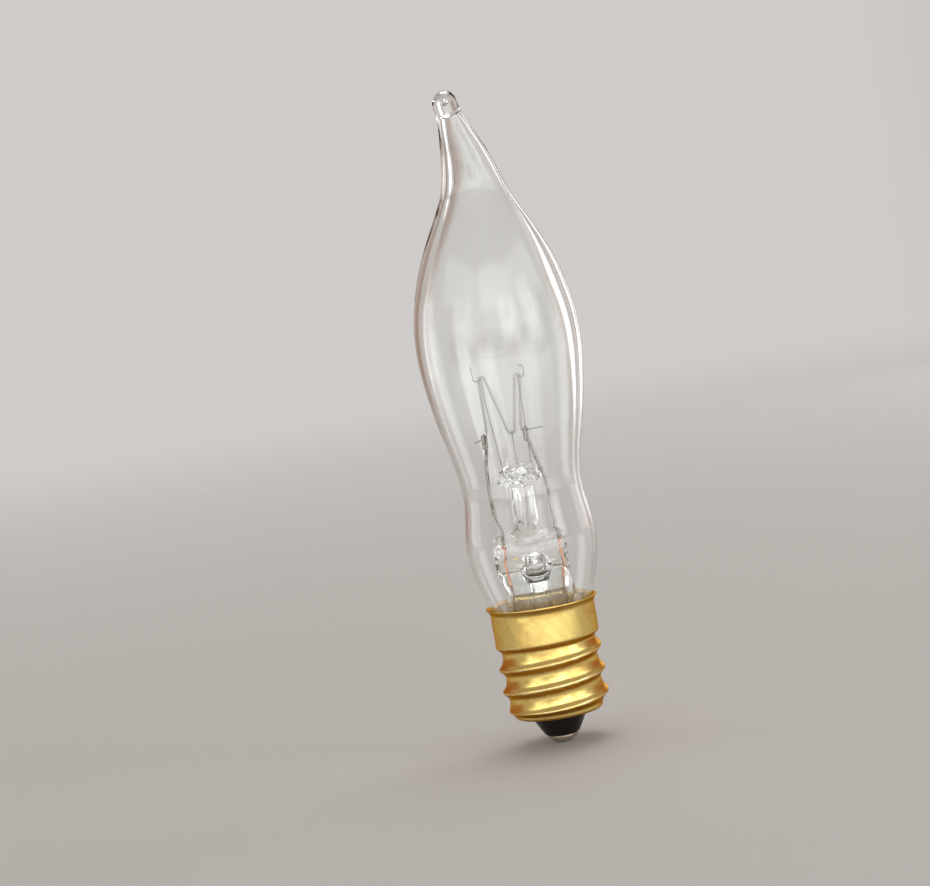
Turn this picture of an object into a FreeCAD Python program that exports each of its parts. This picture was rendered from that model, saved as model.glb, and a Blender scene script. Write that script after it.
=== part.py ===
"""Candelabra lamp: a clear flame-shaped bulb with a bent tip on a rolled brass screw cap.

Millimetres. +Z is the lamp's axis, the origin is the lowest point of the centre contact.
The tip leans towards -X. The glass press, the leads and the filament lie in one plane
through the axis, turned stem_turn degrees about Z from the X axis.
"""
import FreeCAD, Part
import math
import os

os.makedirs("parts", exist_ok=True)
V = FreeCAD.Vector
UP = V(0, 0, 1)

# Centre contact and insulator, from the bottom up
solder_height = 0.50            # solder dome under the eyelet
solder_radius = 1.50
eyelet_flange = 0.40            # thickness of the eyelet's flange
eyelet_radius = 1.65
eyelet_barrel_radius = 0.85
eyelet_barrel_height = 1.60
eyelet_wall = 0.22
insulator_tip_radius = 1.88
insulator_root_radius = 3.20
insulator_drop = 2.35           # how far the insulator hangs below the cap
insulator_seat = 1.30           # thickness of the disc inside the cap
insulator_bore = 0.40           # way for the centre lead

# Screw cap, thin rolled sheet with a right-hand thread of 10 turns to the inch
sheet = 0.25
thread_pitch = 2.54
thread_crest_radius = 5.80
thread_depth = 0.62
thread_ramp = 0.36              # share of the depth that the valley's slope down from a crest takes
ramp_turn = 32.0                # degrees of the turn by which that slope starts above the crest
thread_phase = 50.0             # degrees about Z, where a crest starts
thread_start = 2.116            # height of that crest above the thread's low end
thread_zone = 8.20              # height of the threaded part
thread_runout = 0.75            # height over which the thread fades at each end
foot_inset = 0.23               # cap's lower edge inside the thread's root
foot_round = 0.42
foot_hole_clearance = 0.05
band_inset = 0.05               # plain band inside the thread's crest
band_height = 3.05
lip_flare = 0.40
lip_height = 0.75

# Glass envelope: each station's step above the one below it, and its outer radius
glass_wall = 0.50               # in the neck, up to the waist
crown_wall = 0.90               # where the glass is thickest, in the drawn shoulder
seal_depth = 2.07               # how far the neck reaches below the band
neck_gap = 0.53                 # room for the side lead between neck and cap
collar_step, collar_flare = 2.40, 0.15
hem_step, hem_gap = 3.50, 0.24  # the glass passes this far inside the lip
flank_step, flank_radius = 3.50, 6.75
hip_step, hip_radius = 3.70, 7.17
dip_step, dip_radius = 2.60, 6.87
waist_step, waist_radius = 2.70, 6.58
lift_step, lift_radius = 3.70, 7.01
swell_step, swell_radius = 4.20, 7.98
chest_step, chest_radius = 4.20, 8.70
belly_step, belly_radius = 4.80, 9.03
crown_step, crown_radius = 4.40, 8.49
shoulder_step, shoulder_radius = 4.50, 7.10
slope_step, slope_radius = 4.00, 5.21
throat_step, throat_radius = 3.15, 3.70
neck_step, neck_radius = 4.30, 2.55
nip_step, nip_radius = 4.85, 1.41
bead_step, bead_radius = 1.17, 1.34
# The centre line bends from just under the throat; from there the steps run along it
bend_lead = 0.70
bend_radius = 14.00
bend_angle = 21.5
nip_wall = 0.80                 # glass round the hollow's end
hollow_short = 0.10             # the hollow ends this far below the nip
drop_sag = 0.20                 # melted glass bulging into the hollow's end

# Glass stem: flare tube, flat press, exhaust tube, arbor rod and button, melted into one
stem_turn = -60.0
flare_gap = 0.20                # between the flare tube and the neck's inside
flare_wall = 0.45
flare_rise = 2.20               # height over which the tube opens to the neck
flare_rim = 0.50                # height of the rim that is melted to the envelope
flare_length = 7.50             # from the seal up to where the tube starts to flatten
press_fade = 2.00               # height over which the tube flattens into the press
press_height = 4.40
press_spread = 0.30             # press wider than the tube on either side
press_half_depth = 1.50
exhaust_radius = 1.25
exhaust_bore = 0.80
exhaust_drop = 2.60             # how far the sealed exhaust tube hangs below the neck
exhaust_lobe_radius = 1.50      # of the melted lobe that joins the tube to the press
exhaust_hole_rise = 0.45        # above the press's low edge
exhaust_hole_radius = 0.95      # of the blown pocket that opens on the press's face
exhaust_hole_out = 1.00         # of the pocket's centre towards that face
arbor_length = 5.05
arbor_radius = 1.32
button_height = 2.55
button_radius = 2.34

# Wires
lead_radius = 0.18
seal_wire_radius = 0.14
outer_lead_radius = 0.14
support_radius = 0.06
leg_radius = 0.07               # bare ends of the filament, through the clamps
coil_radius = 0.18              # outer radius of the filament's coil
clamp_gap = 0.16                # slot in a folded lead, for the filament's leg
clamp_length = 1.45
hook_clearance = 0.03
seal_wire_tail = 1.10           # of the copper-clad wire below the press
seal_wire_cover = 1.30          # from that wire's top to the press's top
left_lead_inset, right_lead_inset = 1.03, 1.10     # from the press's narrow sides
lead_stub = 0.50                # straight part of a lead above the press
lead_bend = 3.00                # radius of a lead's gentle bends
left_lead_bow = 0.69
right_lead_bow = 0.90
# Clamps and hooks: place along the press and rise above the button
left_clamp_x, left_clamp_rise, left_clamp_turn = -3.05, 3.73, 130.0
right_clamp_x, right_clamp_rise, right_clamp_turn = 1.50, 3.97, 120.0
left_clamp_drop, right_clamp_drop = 1.13, 1.45
left_hook_x, left_hook_rise = -2.45, 9.65
middle_hook_x, middle_hook_rise = -0.10, 3.60
right_hook_x, right_hook_rise = 1.54, 9.40
hook_reach = 0.45               # how far a hook stands before and behind the filament
hook_drop = 2.60                # length of the straight part under a hook
support_bend = 0.25
support_depth = 1.20            # of a support's root in the button
left_root_x, left_root_y = -1.75, 0.10
left_knee_x, left_knee_y = -1.85, -0.15
right_root_x, right_root_y, right_knee_y = 1.45, -0.35, -0.60
middle_root_y = -0.30
knee_rise, middle_knee_rise = 0.30, 0.60
left_tail_out, left_tail_dip, left_tail_lean, left_tail_rise = 0.85, 0.12, 0.12, 1.65
right_tail_out, right_tail_dip, right_tail_lean, right_tail_rise = 0.66, 0.10, 0.06, 1.00
right_tail_back, right_tail_tip = 0.26, 1.20
middle_tail = 0.60
left_leg_reach, left_leg_rise = 1.50, -0.45
right_leg_reach, right_leg_rise = 2.20, 0.15
leg_back = 0.48                 # of a leg behind the clamp's slot
leg_bend = 0.12
leg_gap = 0.07                  # between a leg and the fold over it
leg_in_coil = 0.30
left_coil_rise, right_coil_rise = 0.15, 0.05    # of the coil's ends above the clamps
coil_shift = 0.04
hook_spread = 0.04

# Cement and the side lead's weld
cement_clearance = 0.02
weld_radius = 0.36
weld_sink = 0.10                # of the weld's centre beyond the lead's
lead_tuck = 1.60                # straight part of the centre lead above the neck's end
weld_rise = 1.83                # above the band's low edge

RING = 36                       # poles round each free-form glass or sheet surface

contact_height = solder_height + eyelet_flange
cap_low = contact_height + insulator_drop
thread_low = cap_low + foot_round
band_low = thread_low + thread_zone
band_high = band_low + band_height
rim_height = band_high + lip_height

thread_root_radius = thread_crest_radius - thread_depth
foot_radius = thread_root_radius - foot_inset
band_radius = thread_crest_radius - band_inset
lip_radius = band_radius + lip_flare
seal_height = band_low - seal_depth
seal_radius = thread_root_radius - sheet - neck_gap
collar_radius = seal_radius + collar_flare
hem_radius = lip_radius - sheet - hem_gap
flare_tube_radius = seal_radius - glass_wall - flare_gap
press_half_width = flare_tube_radius + press_spread
left_lead_x = left_lead_inset - press_half_width
right_lead_x = press_half_width - right_lead_inset
flare_top = seal_height + flare_length
press_low = flare_top + press_fade
press_high = press_low + press_height
button_low = press_high + arbor_length
button_high = button_low + button_height
exhaust_tip = seal_height - exhaust_drop
exhaust_hole_height = press_low + exhaust_hole_rise
seal_wire_low = press_low - seal_wire_tail
seal_wire_high = press_high - seal_wire_cover
left_clamp_top = button_high + left_clamp_rise
right_clamp_top = button_high + right_clamp_rise
left_hook_height = button_high + left_hook_rise
middle_hook_height = button_high + middle_hook_rise
right_hook_height = button_high + right_hook_rise
weld_height = band_low + weld_rise


def turned(profile, closed=True):
    """Solid of revolution about Z from (radius, height) points, with arcs given as
    ("arc", mid, end) entries."""
    edges, last = [], None
    first = profile[0]
    for item in profile:
        if last is None:
            last = item
            continue
        if item[0] == "arc":
            mid, end = item[1], item[2]
            arc = Part.Arc(V(last[0], 0, last[1]), V(mid[0], 0, mid[1]), V(end[0], 0, end[1]))
            edges.append(arc.toShape())
            last = end
        else:
            edges.append(Part.LineSegment(V(last[0], 0, last[1]), V(item[0], 0, item[1])).toShape())
            last = item
    if closed and (abs(last[0] - first[0]) > 1e-9 or abs(last[1] - first[1]) > 1e-9):
        edges.append(Part.LineSegment(V(last[0], 0, last[1]), V(first[0], 0, first[1])).toShape())
    wire = Part.Wire(edges)
    if not closed:
        return wire.revolve(V(0, 0, 0), UP, 360)
    return Part.Face(wire).revolve(V(0, 0, 0), UP, 360)


def ring_surface(rings):
    """Smooth closed skin through a stack of rings. Each ring is (centre, across, along,
    radius), where radius is a number or a function of the angle."""
    grow = 3 / (2 + math.cos(2 * math.pi / RING))
    steps = [0.0]
    for low, high in zip(rings, rings[1:]):
        r0 = low[3](0.7) if callable(low[3]) else low[3]
        r1 = high[3](0.7) if callable(high[3]) else high[3]
        steps.append(steps[-1] + math.hypot((high[0] - low[0]).Length, r1 - r0))
    columns = []
    for i in range(RING):
        # the skin's seam lies over pole 1, so the first pole is one step before angle 0
        angle = 2 * math.pi * (i - 1) / RING
        points = []
        for centre, across, along, radius in rings:
            r = radius(angle) if callable(radius) else radius
            points.append(centre + (across * math.cos(angle) + along * math.sin(angle)) * (grow * r))
        column = Part.BSplineCurve()
        column.interpolate(Points=points, Parameters=steps)
        columns.append(column)
    knots, mults = columns[0].getKnots(), columns[0].getMultiplicities()
    skin = Part.BSplineSurface()
    skin.buildFromPolesMultsKnots(
        [c.getPoles() for c in columns], [1] * (RING + 1), mults,
        [float(i) for i in range(RING + 1)], knots, True, False, 3, 3)
    return skin.toShape()


def level_ring(height, radius, turn=0.0):
    t = math.radians(turn)
    return (V(0, 0, height), V(math.cos(t), math.sin(t), 0), V(-math.sin(t), math.cos(t), 0), radius)


def flat(face, height):
    """Flat lid on the level edge of a skin at a height."""
    edge = min(face.Edges, key=lambda e: abs(e.BoundBox.ZMax - height) + abs(e.BoundBox.ZMin - height))
    return Part.Face(Part.Wire([edge]))


def sewn(skins):
    """Solid inside skins whose edges meet."""
    faces = [f for skin in skins for f in skin.Faces]
    shell = Part.Shell(faces[0].multiFuse(faces[1:], 1e-4).Faces)
    shell.sewShape(1e-4)
    solid = Part.Solid(shell)
    if solid.Volume < 0:
        solid.reverse()
    return solid


def flattened(half_width, half_depth, power):
    """Radius of a rounded flat section, as a function of the angle."""
    def radius(angle):
        c, s = abs(math.cos(angle)) / half_width, abs(math.sin(angle)) / half_depth
        return (c ** power + s ** power) ** (-1.0 / power)
    return radius


def rod(points, radius, bend):
    """Round wire through points: straight runs joined by tangent arcs."""
    edges, here = [], points[0]
    for before, corner, after in zip(points, points[1:], points[2:]):
        d1, d2 = (corner - before).normalize(), (after - corner).normalize()
        turn = d1.getAngle(d2)
        room = min((corner - before).Length, (after - corner).Length) * 0.48
        r = min(bend, room / math.tan(turn / 2))
        start, end = corner - d1 * (r * math.tan(turn / 2)), corner + d2 * (r * math.tan(turn / 2))
        inward = (d2 - d1).normalize()
        middle = corner + inward * (r / math.cos(turn / 2) - r)
        edges.append(Part.LineSegment(here, start).toShape())
        edges.append(Part.Arc(start, middle, end).toShape())
        here = end
    edges.append(Part.LineSegment(here, points[-1]).toShape())
    path = Part.Wire(edges)
    circle = Part.Wire([Part.Circle(points[0], points[1] - points[0], radius).toShape()])
    swept = path.makePipeShell([circle], True, False)
    return swept


def stem_point(x, y, z):
    """Point in the stem's own frame: x along the press, y towards its face, z up."""
    t = math.radians(stem_turn)
    return V(x * math.cos(t) + y * math.sin(t), x * math.sin(t) - y * math.cos(t), z)


def save(name, shape):
    solids = shape.Solids
    if len(solids) != 1 or not solids[0].isValid():
        raise RuntimeError(name + " is not one valid solid")
    solids[0].exportStep("parts/" + name + ".step")
    built[name] = solids[0]
    print("%-22s volume %9.4f  faces %3d" % (name, solids[0].Volume, len(solids[0].Faces)))


built = {}


# Screw cap: the thread is a skin whose radius follows the helix
def ease(t):
    t = min(max(t, 0.0), 1.0)
    return t * t * (3 - 2 * t)


def thread_radius(height, inset):
    """Radius of the rolled sheet as a function of the angle at one height."""
    at_top = ease((height - (band_low - thread_runout)) / thread_runout)
    at_foot = ease((thread_low + thread_runout - height) / thread_runout)
    base = thread_root_radius + (band_radius - thread_root_radius) * at_top
    base += (foot_radius - base) * at_foot
    peak = thread_crest_radius + (band_radius - thread_crest_radius) * at_top
    fade = 1 - ease((thread_low + thread_runout - height) / thread_runout)
    lean = math.radians(ramp_turn)

    def radius(angle):
        crest = thread_low + thread_start + thread_pitch * (math.degrees(angle) - thread_phase) / 360
        turn = 2 * math.pi * (height - crest) / thread_pitch
        ridge = ((1 + math.cos(turn)) / 2) ** 4
        slope = (1 + math.cos(turn - lean)) / (1 + math.cos(lean))
        wave = (1 - thread_ramp) * ridge + thread_ramp * slope
        return base + max(peak - base, 0.0) * fade * wave - inset
    return radius


layers = int(round(thread_zone / 0.20))
heights = [thread_low + thread_zone * i / layers for i in range(layers + 1)]
outer_thread = ring_surface([level_ring(z, thread_radius(z, 0.0)) for z in heights])
inner_thread = ring_surface([level_ring(z, thread_radius(z, sheet)) for z in heights])
lip_mid = (band_radius + (lip_radius - band_radius) * 0.35, band_high + lip_height * 0.62)
upper = turned([
    (band_radius, band_low), (band_radius, band_high),
    ("arc", lip_mid, (lip_radius, rim_height)),
    ("arc", (lip_radius - sheet * 0.45, rim_height + sheet * 0.28), (lip_radius - sheet, rim_height)),
    ("arc", (lip_mid[0] - sheet, lip_mid[1]), (band_radius - sheet, band_high)),
    (band_radius - sheet, band_low)], closed=False)
foot_hole = insulator_root_radius + foot_hole_clearance
turn_in = foot_radius - foot_round
lower = turned([
    (foot_radius, thread_low),
    ("arc", (foot_radius - foot_round * (1 - math.sqrt(0.5)), thread_low - foot_round * math.sqrt(0.5)),
     (turn_in, cap_low)),
    (foot_hole, cap_low), (foot_hole, cap_low + sheet), (turn_in, cap_low + sheet),
    ("arc", (turn_in + (foot_round - sheet) * math.sqrt(0.5),
             thread_low - (foot_round - sheet) * math.sqrt(0.5)),
     (foot_radius - sheet, thread_low))], closed=False)
screw_shell = sewn([upper, outer_thread, lower, inner_thread])
save("screw_shell", screw_shell)


# Contact end
insulator_top = cap_low + sheet + insulator_seat
barrel_top = contact_height + eyelet_barrel_height
fit = 0.02
base_insulator = turned([
    (eyelet_barrel_radius + fit, contact_height), (insulator_tip_radius, contact_height),
    (insulator_root_radius, cap_low), (insulator_root_radius, cap_low + sheet),
    (turn_in - fit, cap_low + sheet), (turn_in - fit, insulator_top),
    (insulator_bore, insulator_top), (insulator_bore, barrel_top + fit),
    (eyelet_barrel_radius + fit, barrel_top + fit)])
eyelet_bore = eyelet_barrel_radius - eyelet_wall
contact_eyelet = turned([
    (eyelet_bore, solder_height), (eyelet_radius, solder_height), (eyelet_radius, contact_height),
    (eyelet_barrel_radius, contact_height), (eyelet_barrel_radius, barrel_top), (eyelet_bore, barrel_top)])
solder_plug = turned([
    (0, 0), ("arc", (solder_radius * 0.76, solder_height * 0.34), (solder_radius, solder_height)),
    (eyelet_bore - fit, solder_height), (eyelet_bore - fit, barrel_top - 0.5), (0, barrel_top - 0.5)])


# Glass envelope on its bent centre line
stations = [
    (collar_step, collar_radius), (hem_step, hem_radius), (flank_step, flank_radius),
    (hip_step, hip_radius), (dip_step, dip_radius), (waist_step, waist_radius),
    (lift_step, lift_radius), (swell_step, swell_radius), (chest_step, chest_radius),
    (belly_step, belly_radius), (crown_step, crown_radius), (shoulder_step, shoulder_radius),
    (slope_step, slope_radius), (throat_step, throat_radius), (neck_step, neck_radius),
    (nip_step, nip_radius), (bead_step, bead_radius)]
outline = [(seal_height, seal_radius)]
for step_up, station_radius in stations:
    outline.append((outline[-1][0] + step_up, station_radius))
bead_length = outline[-1][0]
nip_length = outline[-2][0]
bend_start = outline[-4][0] - bend_lead
shoulder_length = outline[-6][0]
waist_length = outline[6][0]
hollow_end = nip_length - hollow_short
hollow_end_radius = nip_radius - nip_wall


def on_centre_line(length):
    """Centre, across and along directions of the section at a length up the centre line."""
    turn = min(max(length - bend_start, 0.0) / bend_radius, math.radians(bend_angle))
    past = max(length - bend_start - bend_radius * turn, 0.0)
    centre = V(-bend_radius * (1 - math.cos(turn)) - past * math.sin(turn), 0,
               min(length, bend_start) + bend_radius * math.sin(turn) + past * math.cos(turn))
    return centre, V(math.cos(turn), 0, math.sin(turn)), V(0, 1, 0)


def wall_at(length):
    """Thickness of the blown wall, which grows from the waist to the shoulder."""
    share = (length - waist_length) / (shoulder_length - waist_length)
    return glass_wall + (crown_wall - glass_wall) * ease(share)


def inner_outline():
    points = [(seal_height, seal_radius - glass_wall)]
    for below, here, above in zip(outline, outline[1:], outline[2:]):
        if here[0] >= hollow_end - 1:
            break
        slope = (above[1] - below[1]) / (above[0] - below[0])
        points.append((here[0], here[1] - wall_at(here[0]) * math.hypot(1, slope)))
    return points + [(hollow_end, hollow_end_radius)]


def lean_to(length, shape):
    """Carry a shape made round the origin to its place on the centre line."""
    centre, across, along = on_centre_line(length)
    turn = -math.degrees(math.asin(across.z))
    shape = shape.copy()
    shape.rotate(V(0, 0, 0), V(0, 1, 0), turn)
    shape.translate(centre)
    return shape


outer_skin = ring_surface([on_centre_line(h) + (r,) for h, r in outline])
inner_skin = ring_surface([on_centre_line(h) + (r,) for h, r in inner_outline()])
bead_mid = bead_radius * math.sqrt(0.5)
bead_cap = lean_to(bead_length, turned([
    (bead_radius, 0), ("arc", (bead_mid, bead_mid), (0, bead_radius))], closed=False))
drop = lean_to(hollow_end, turned([
    (hollow_end_radius, 0), ("arc", (hollow_end_radius * 0.52, -drop_sag * 0.75), (0, -drop_sag))],
    closed=False))
seal_edge = turned([(seal_radius, seal_height), (seal_radius - glass_wall, seal_height)], closed=False)
glass_envelope = sewn([outer_skin, bead_cap, seal_edge, inner_skin, drop])


# Wires, in the stem's plane
def clamp(x, top, turn):
    """Points of a lead's end folded over the filament's leg."""
    width = 2 * lead_radius + clamp_gap
    out = (width * math.cos(math.radians(turn)), width * math.sin(math.radians(turn)))
    high = top - lead_radius
    return [stem_point(x, 0, high), stem_point(x + out[0], out[1], high),
            stem_point(x + out[0], out[1], high - clamp_length)]


fold = lead_radius + clamp_gap / 2
def lead(x, bow, course, clamp_x, clamp_top, clamp_drop, clamp_turn):
    """Lead wire from the press up to its clamp. The course gives the share of the way up
    and the share of the bow at each bend."""
    points = [stem_point(x, 0, seal_wire_high), stem_point(x, 0, press_high + lead_stub)]
    for way, share in course:
        points.append(stem_point(x - bow * share, 0, press_high + (clamp_top - press_high) * way))
    points.append(stem_point(clamp_x, 0, clamp_top - clamp_drop))
    return rod(points + clamp(clamp_x, clamp_top, clamp_turn), lead_radius, lead_bend)


left_course = [(0.2207, 0.84), (0.4325, 1.0), (0.6884, 0.77)]
right_course = [(0.242, 0.133), (0.4883, 0.267), (0.6828, 1.0)]
lead_wire_left = lead(left_lead_x, left_lead_bow, left_course,
                      left_clamp_x, left_clamp_top, left_clamp_drop, left_clamp_turn)
lead_wire_right = lead(right_lead_x, right_lead_bow, right_course,
                       right_clamp_x, right_clamp_top, right_clamp_drop, right_clamp_turn)


def seal_wire(x):
    length = seal_wire_high - seal_wire_low
    return Part.makeCylinder(seal_wire_radius, length, stem_point(x, 0, seal_wire_low))


dumet_seal_left = seal_wire(left_lead_x)
dumet_seal_right = seal_wire(right_lead_x)
stem_foot = seal_height - flare_rim
outer_lead_centre = rod([
    stem_point(left_lead_x, 0, seal_wire_low), stem_point(left_lead_x, 0, stem_foot + lead_tuck),
    stem_point(left_lead_x + 0.40, 0, exhaust_tip + 1.2), stem_point(-0.75, 0, exhaust_tip - 0.8),
    stem_point(0, 0, insulator_top + 0.5), stem_point(0, 0, solder_height - 0.1)],
    outer_lead_radius, 1.2)
wall_x = band_radius - sheet - outer_lead_radius - fit
side_x = thread_root_radius - sheet - outer_lead_radius - 3 * fit
outer_lead_side = rod([
    stem_point(right_lead_x, 0, seal_wire_low), stem_point(right_lead_x, 0, stem_foot + 0.2),
    stem_point(right_lead_x + 0.45, 0, stem_foot - 0.8), stem_point(side_x, 0, stem_foot - 0.8),
    stem_point(side_x, 0, band_low + 0.1), stem_point(wall_x, 0, weld_height - 0.7),
    stem_point(wall_x, 0, weld_height + 0.3)], outer_lead_radius, 0.5)
weld = Part.makeSphere(weld_radius, stem_point(wall_x + weld_sink, 0, weld_height))
weld = weld.common(Part.makeCylinder(band_radius - sheet, weld_height + 1)).cut(outer_lead_side)

hook_offset = coil_radius + support_radius + hook_clearance
root_low = button_high - support_depth
left_tail_x = left_hook_x - left_tail_out
right_tail_x = right_hook_x + right_tail_out
supports = {
    "support_wire_left": [
        (left_root_x, left_root_y, root_low), (left_knee_x, left_knee_y, button_high + knee_rise),
        (left_hook_x, -hook_reach, left_hook_height - hook_drop),
        (left_hook_x, -hook_reach, left_hook_height), (left_hook_x, hook_reach, left_hook_height),
        (left_tail_x, hook_reach, left_hook_height - left_tail_dip),
        (left_tail_x - left_tail_lean, hook_reach, left_hook_height + left_tail_rise)],
    "support_wire_middle": [
        (middle_hook_x, middle_root_y, root_low),
        (middle_hook_x, -hook_reach, button_high + middle_knee_rise),
        (middle_hook_x, -hook_reach, middle_hook_height), (middle_hook_x, hook_reach, middle_hook_height),
        (middle_hook_x, hook_reach, middle_hook_height - middle_tail)],
    "support_wire_right": [
        (right_root_x, right_root_y, root_low), (right_root_x, right_knee_y, button_high + knee_rise),
        (right_hook_x, -hook_reach, right_hook_height - hook_drop),
        (right_hook_x, -hook_reach, right_hook_height), (right_hook_x, hook_reach, right_hook_height),
        (right_tail_x, hook_reach, right_hook_height - right_tail_dip),
        (right_tail_x + right_tail_lean, hook_reach, right_hook_height + right_tail_rise),
        (right_hook_x + right_tail_back, hook_reach, right_hook_height + right_tail_tip)]}
support_wires = {}
for name, points in supports.items():
    support_wires[name] = rod([stem_point(*p) for p in points], support_radius, support_bend)


def leg(x, top, turn, reach, rise):
    """Ends of a filament leg, which runs level through the slot of its clamp."""
    t, half = math.radians(turn), lead_radius + clamp_gap / 2
    slot_x, slot_y = x + half * math.cos(t), half * math.sin(t)
    out_x, out_y = abs(math.sin(t)), -math.cos(t)
    side = 1 if x > 0 else -1
    z = top - 2 * lead_radius - leg_radius - leg_gap
    end = (slot_x + side * reach * out_x, slot_y + side * reach * out_y, z + rise)
    inner = (slot_x - side * leg_back * out_x, slot_y - side * leg_back * out_y, z - rise * leg_back / reach)
    return end, inner


left_end, left_inner = leg(
    left_clamp_x, left_clamp_top, left_clamp_turn, left_leg_reach, left_leg_rise)
right_end, right_inner = leg(
    right_clamp_x, right_clamp_top, right_clamp_turn, right_leg_reach, right_leg_rise)
coil_left = (left_inner[0], left_inner[1] - coil_shift, left_clamp_top + left_coil_rise)
coil_right = (right_inner[0] + coil_shift, right_inner[1], right_clamp_top + right_coil_rise)
coil_points = [coil_left]
for x, height, side in ((left_hook_x, left_hook_height, 1), (middle_hook_x, middle_hook_height, -1),
                        (right_hook_x, right_hook_height, 1)):
    coil_points.append((x - hook_offset - hook_spread, 0, height + side * hook_offset))
    coil_points.append((x + hook_offset + hook_spread, 0, height + side * hook_offset))
coil_points.append(coil_right)
coil = rod([stem_point(*p) for p in coil_points], coil_radius, hook_offset)
left_tip = coil_left[:2] + (coil_left[2] + leg_in_coil,)
right_tip = coil_right[:2] + (coil_right[2] + leg_in_coil,)
left_leg = rod([stem_point(*p) for p in (left_end, left_inner, left_tip)], leg_radius, leg_bend)
right_leg = rod([stem_point(*p) for p in (right_end, right_inner, right_tip)], leg_radius, leg_bend)
filament = coil.fuse([left_leg, right_leg])


# Glass stem, upright along X, then turned
def bowed(start, end, sag):
    """Arc entry for turned() from start to end, bowed towards the axis by sag."""
    chord = math.hypot(end[0] - start[0], end[1] - start[1])
    mid = ((start[0] + end[0]) / 2 - sag * abs(end[1] - start[1]) / chord,
           (start[1] + end[1]) / 2 + sag * abs(end[0] - start[0]) / chord)
    return ("arc", mid, end)


seat = (seal_radius - glass_wall, seal_height)
tube = (flare_tube_radius, seal_height + flare_rise)
tube_in = (flare_tube_radius - flare_wall, seal_height + flare_rise * 0.864)
mouth = (seal_radius - glass_wall - 0.30, stem_foot)
flare = turned([
    mouth, (seal_radius, stem_foot), (seal_radius, seal_height), seat, bowed(seat, tube, 0.02),
    (flare_tube_radius, flare_top - 0.10), (flare_tube_radius - flare_wall / 2, flare_top - 0.05),
    (flare_tube_radius - flare_wall / 2, flare_top + 0.10),
    (flare_tube_radius - flare_wall, flare_top + 0.10),
    tube_in, bowed(tube_in, mouth, 0.06)])


def skin_solid(rings):
    skin = ring_surface(rings)
    lids = [flat(skin, rings[0][0].z), flat(skin, rings[-1][0].z)]
    solid = Part.Solid(Part.Shell(skin.Faces + lids))
    solid.fix(1e-5, 1e-5, 1e-4)
    if solid.Volume < 0:
        solid.reverse()
    return solid


w, d = press_half_width, press_half_depth
fade_mid = (flare_top + press_low) / 2
step = 0.03                     # the press overlaps the tube's end by this much all round
press = skin_solid([
    level_ring(flare_top - 0.20, flare_tube_radius + step),
    level_ring(flare_top - 0.08, flare_tube_radius + step),
    level_ring(flare_top + 0.05, flare_tube_radius + step),
    level_ring(fade_mid, flattened((flare_tube_radius + w) / 2, (flare_tube_radius + d) / 2 + 0.3, 2.1)),
    level_ring(press_low, flattened(w, d + 0.25, 2.6)),
    level_ring(press_low + 1.5, flattened(w, d, 3.0)),
    level_ring(press_high - 1.2, flattened(w - 0.03, d, 3.0)),
    level_ring(press_high - 0.5, flattened(w - 0.15, d - 0.12, 2.8)),
    level_ring(press_high - 0.12, flattened(w - 0.45, d - 0.40, 2.6)),
    level_ring(press_high, flattened(w - 0.95, d - 0.75, 2.4))])
tube_bore = flare_tube_radius - flare_wall
hollow = skin_solid([
    level_ring(flare_top - 1.20, tube_bore - step),
    level_ring(flare_top - 0.80, tube_bore - step),
    level_ring(flare_top - 0.40, tube_bore - step),
    level_ring(flare_top, tube_bore - step),
    level_ring(fade_mid - 0.2, flattened(tube_bore + 0.02, (tube_bore + d) / 2 + 0.1, 2.1)),
    level_ring(press_low - 0.55, flattened(tube_bore, d - 0.25, 2.4)),
    level_ring(press_low - 0.30, flattened(tube_bore - 0.35, d - 0.70, 2.2))])
exhaust_tube = turned([
    (0, exhaust_tip),
    ("arc", (exhaust_radius * 0.72, exhaust_tip + 0.45), (exhaust_radius, exhaust_tip + 1.4)),
    (exhaust_radius, press_low - 0.1), (0, press_low - 0.1)])
exhaust_lobe = Part.makeSphere(exhaust_lobe_radius, V(0, 0, exhaust_hole_height))
bore_top = exhaust_hole_height + 0.25
bore_mid = exhaust_bore * math.sqrt(0.5)
exhaust_hollow = turned([
    (0, exhaust_tip + 0.9),
    ("arc", (exhaust_bore * 0.72, exhaust_tip + 1.25), (exhaust_bore, exhaust_tip + 2.1)),
    (exhaust_bore, bore_top - exhaust_bore),
    ("arc", (bore_mid, bore_top - exhaust_bore + bore_mid), (0, bore_top))])
exhaust_hole = Part.makeSphere(exhaust_hole_radius, V(0, -exhaust_hole_out, exhaust_hole_height))
root = (arbor_radius * 1.288, press_high - arbor_radius * 0.227)
arbor = turned([
    (0, press_high - arbor_radius * 0.758), (arbor_radius * 1.076, press_high - arbor_radius * 0.758), root,
    ("arc", (arbor_radius * 1.068, press_high + arbor_radius * 0.227),
     (arbor_radius, press_high + arbor_radius * 0.833)),
    (arbor_radius, button_low - button_height * 0.059),
    ("arc", (arbor_radius * 1.121, button_low + button_height * 0.031),
     (button_radius * 0.84, button_low + button_height * 0.063)),
    ("arc", (button_radius, button_low + button_height * 0.267),
     (button_radius * 0.90, button_low + button_height * 0.549)),
    ("arc", (button_radius * 0.57, button_high - button_height * 0.118), (0, button_high))])
glass_stem = press.cut(hollow).fuse([flare, exhaust_tube, exhaust_lobe, arbor])
glass_stem = glass_stem.cut(exhaust_hollow).cut(exhaust_hole)
glass_stem.rotate(V(0, 0, 0), UP, stem_turn)
glass_stem = glass_stem.cut([lead_wire_left, lead_wire_right, dumet_seal_left, dumet_seal_right]
                            + list(support_wires.values()))

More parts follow.
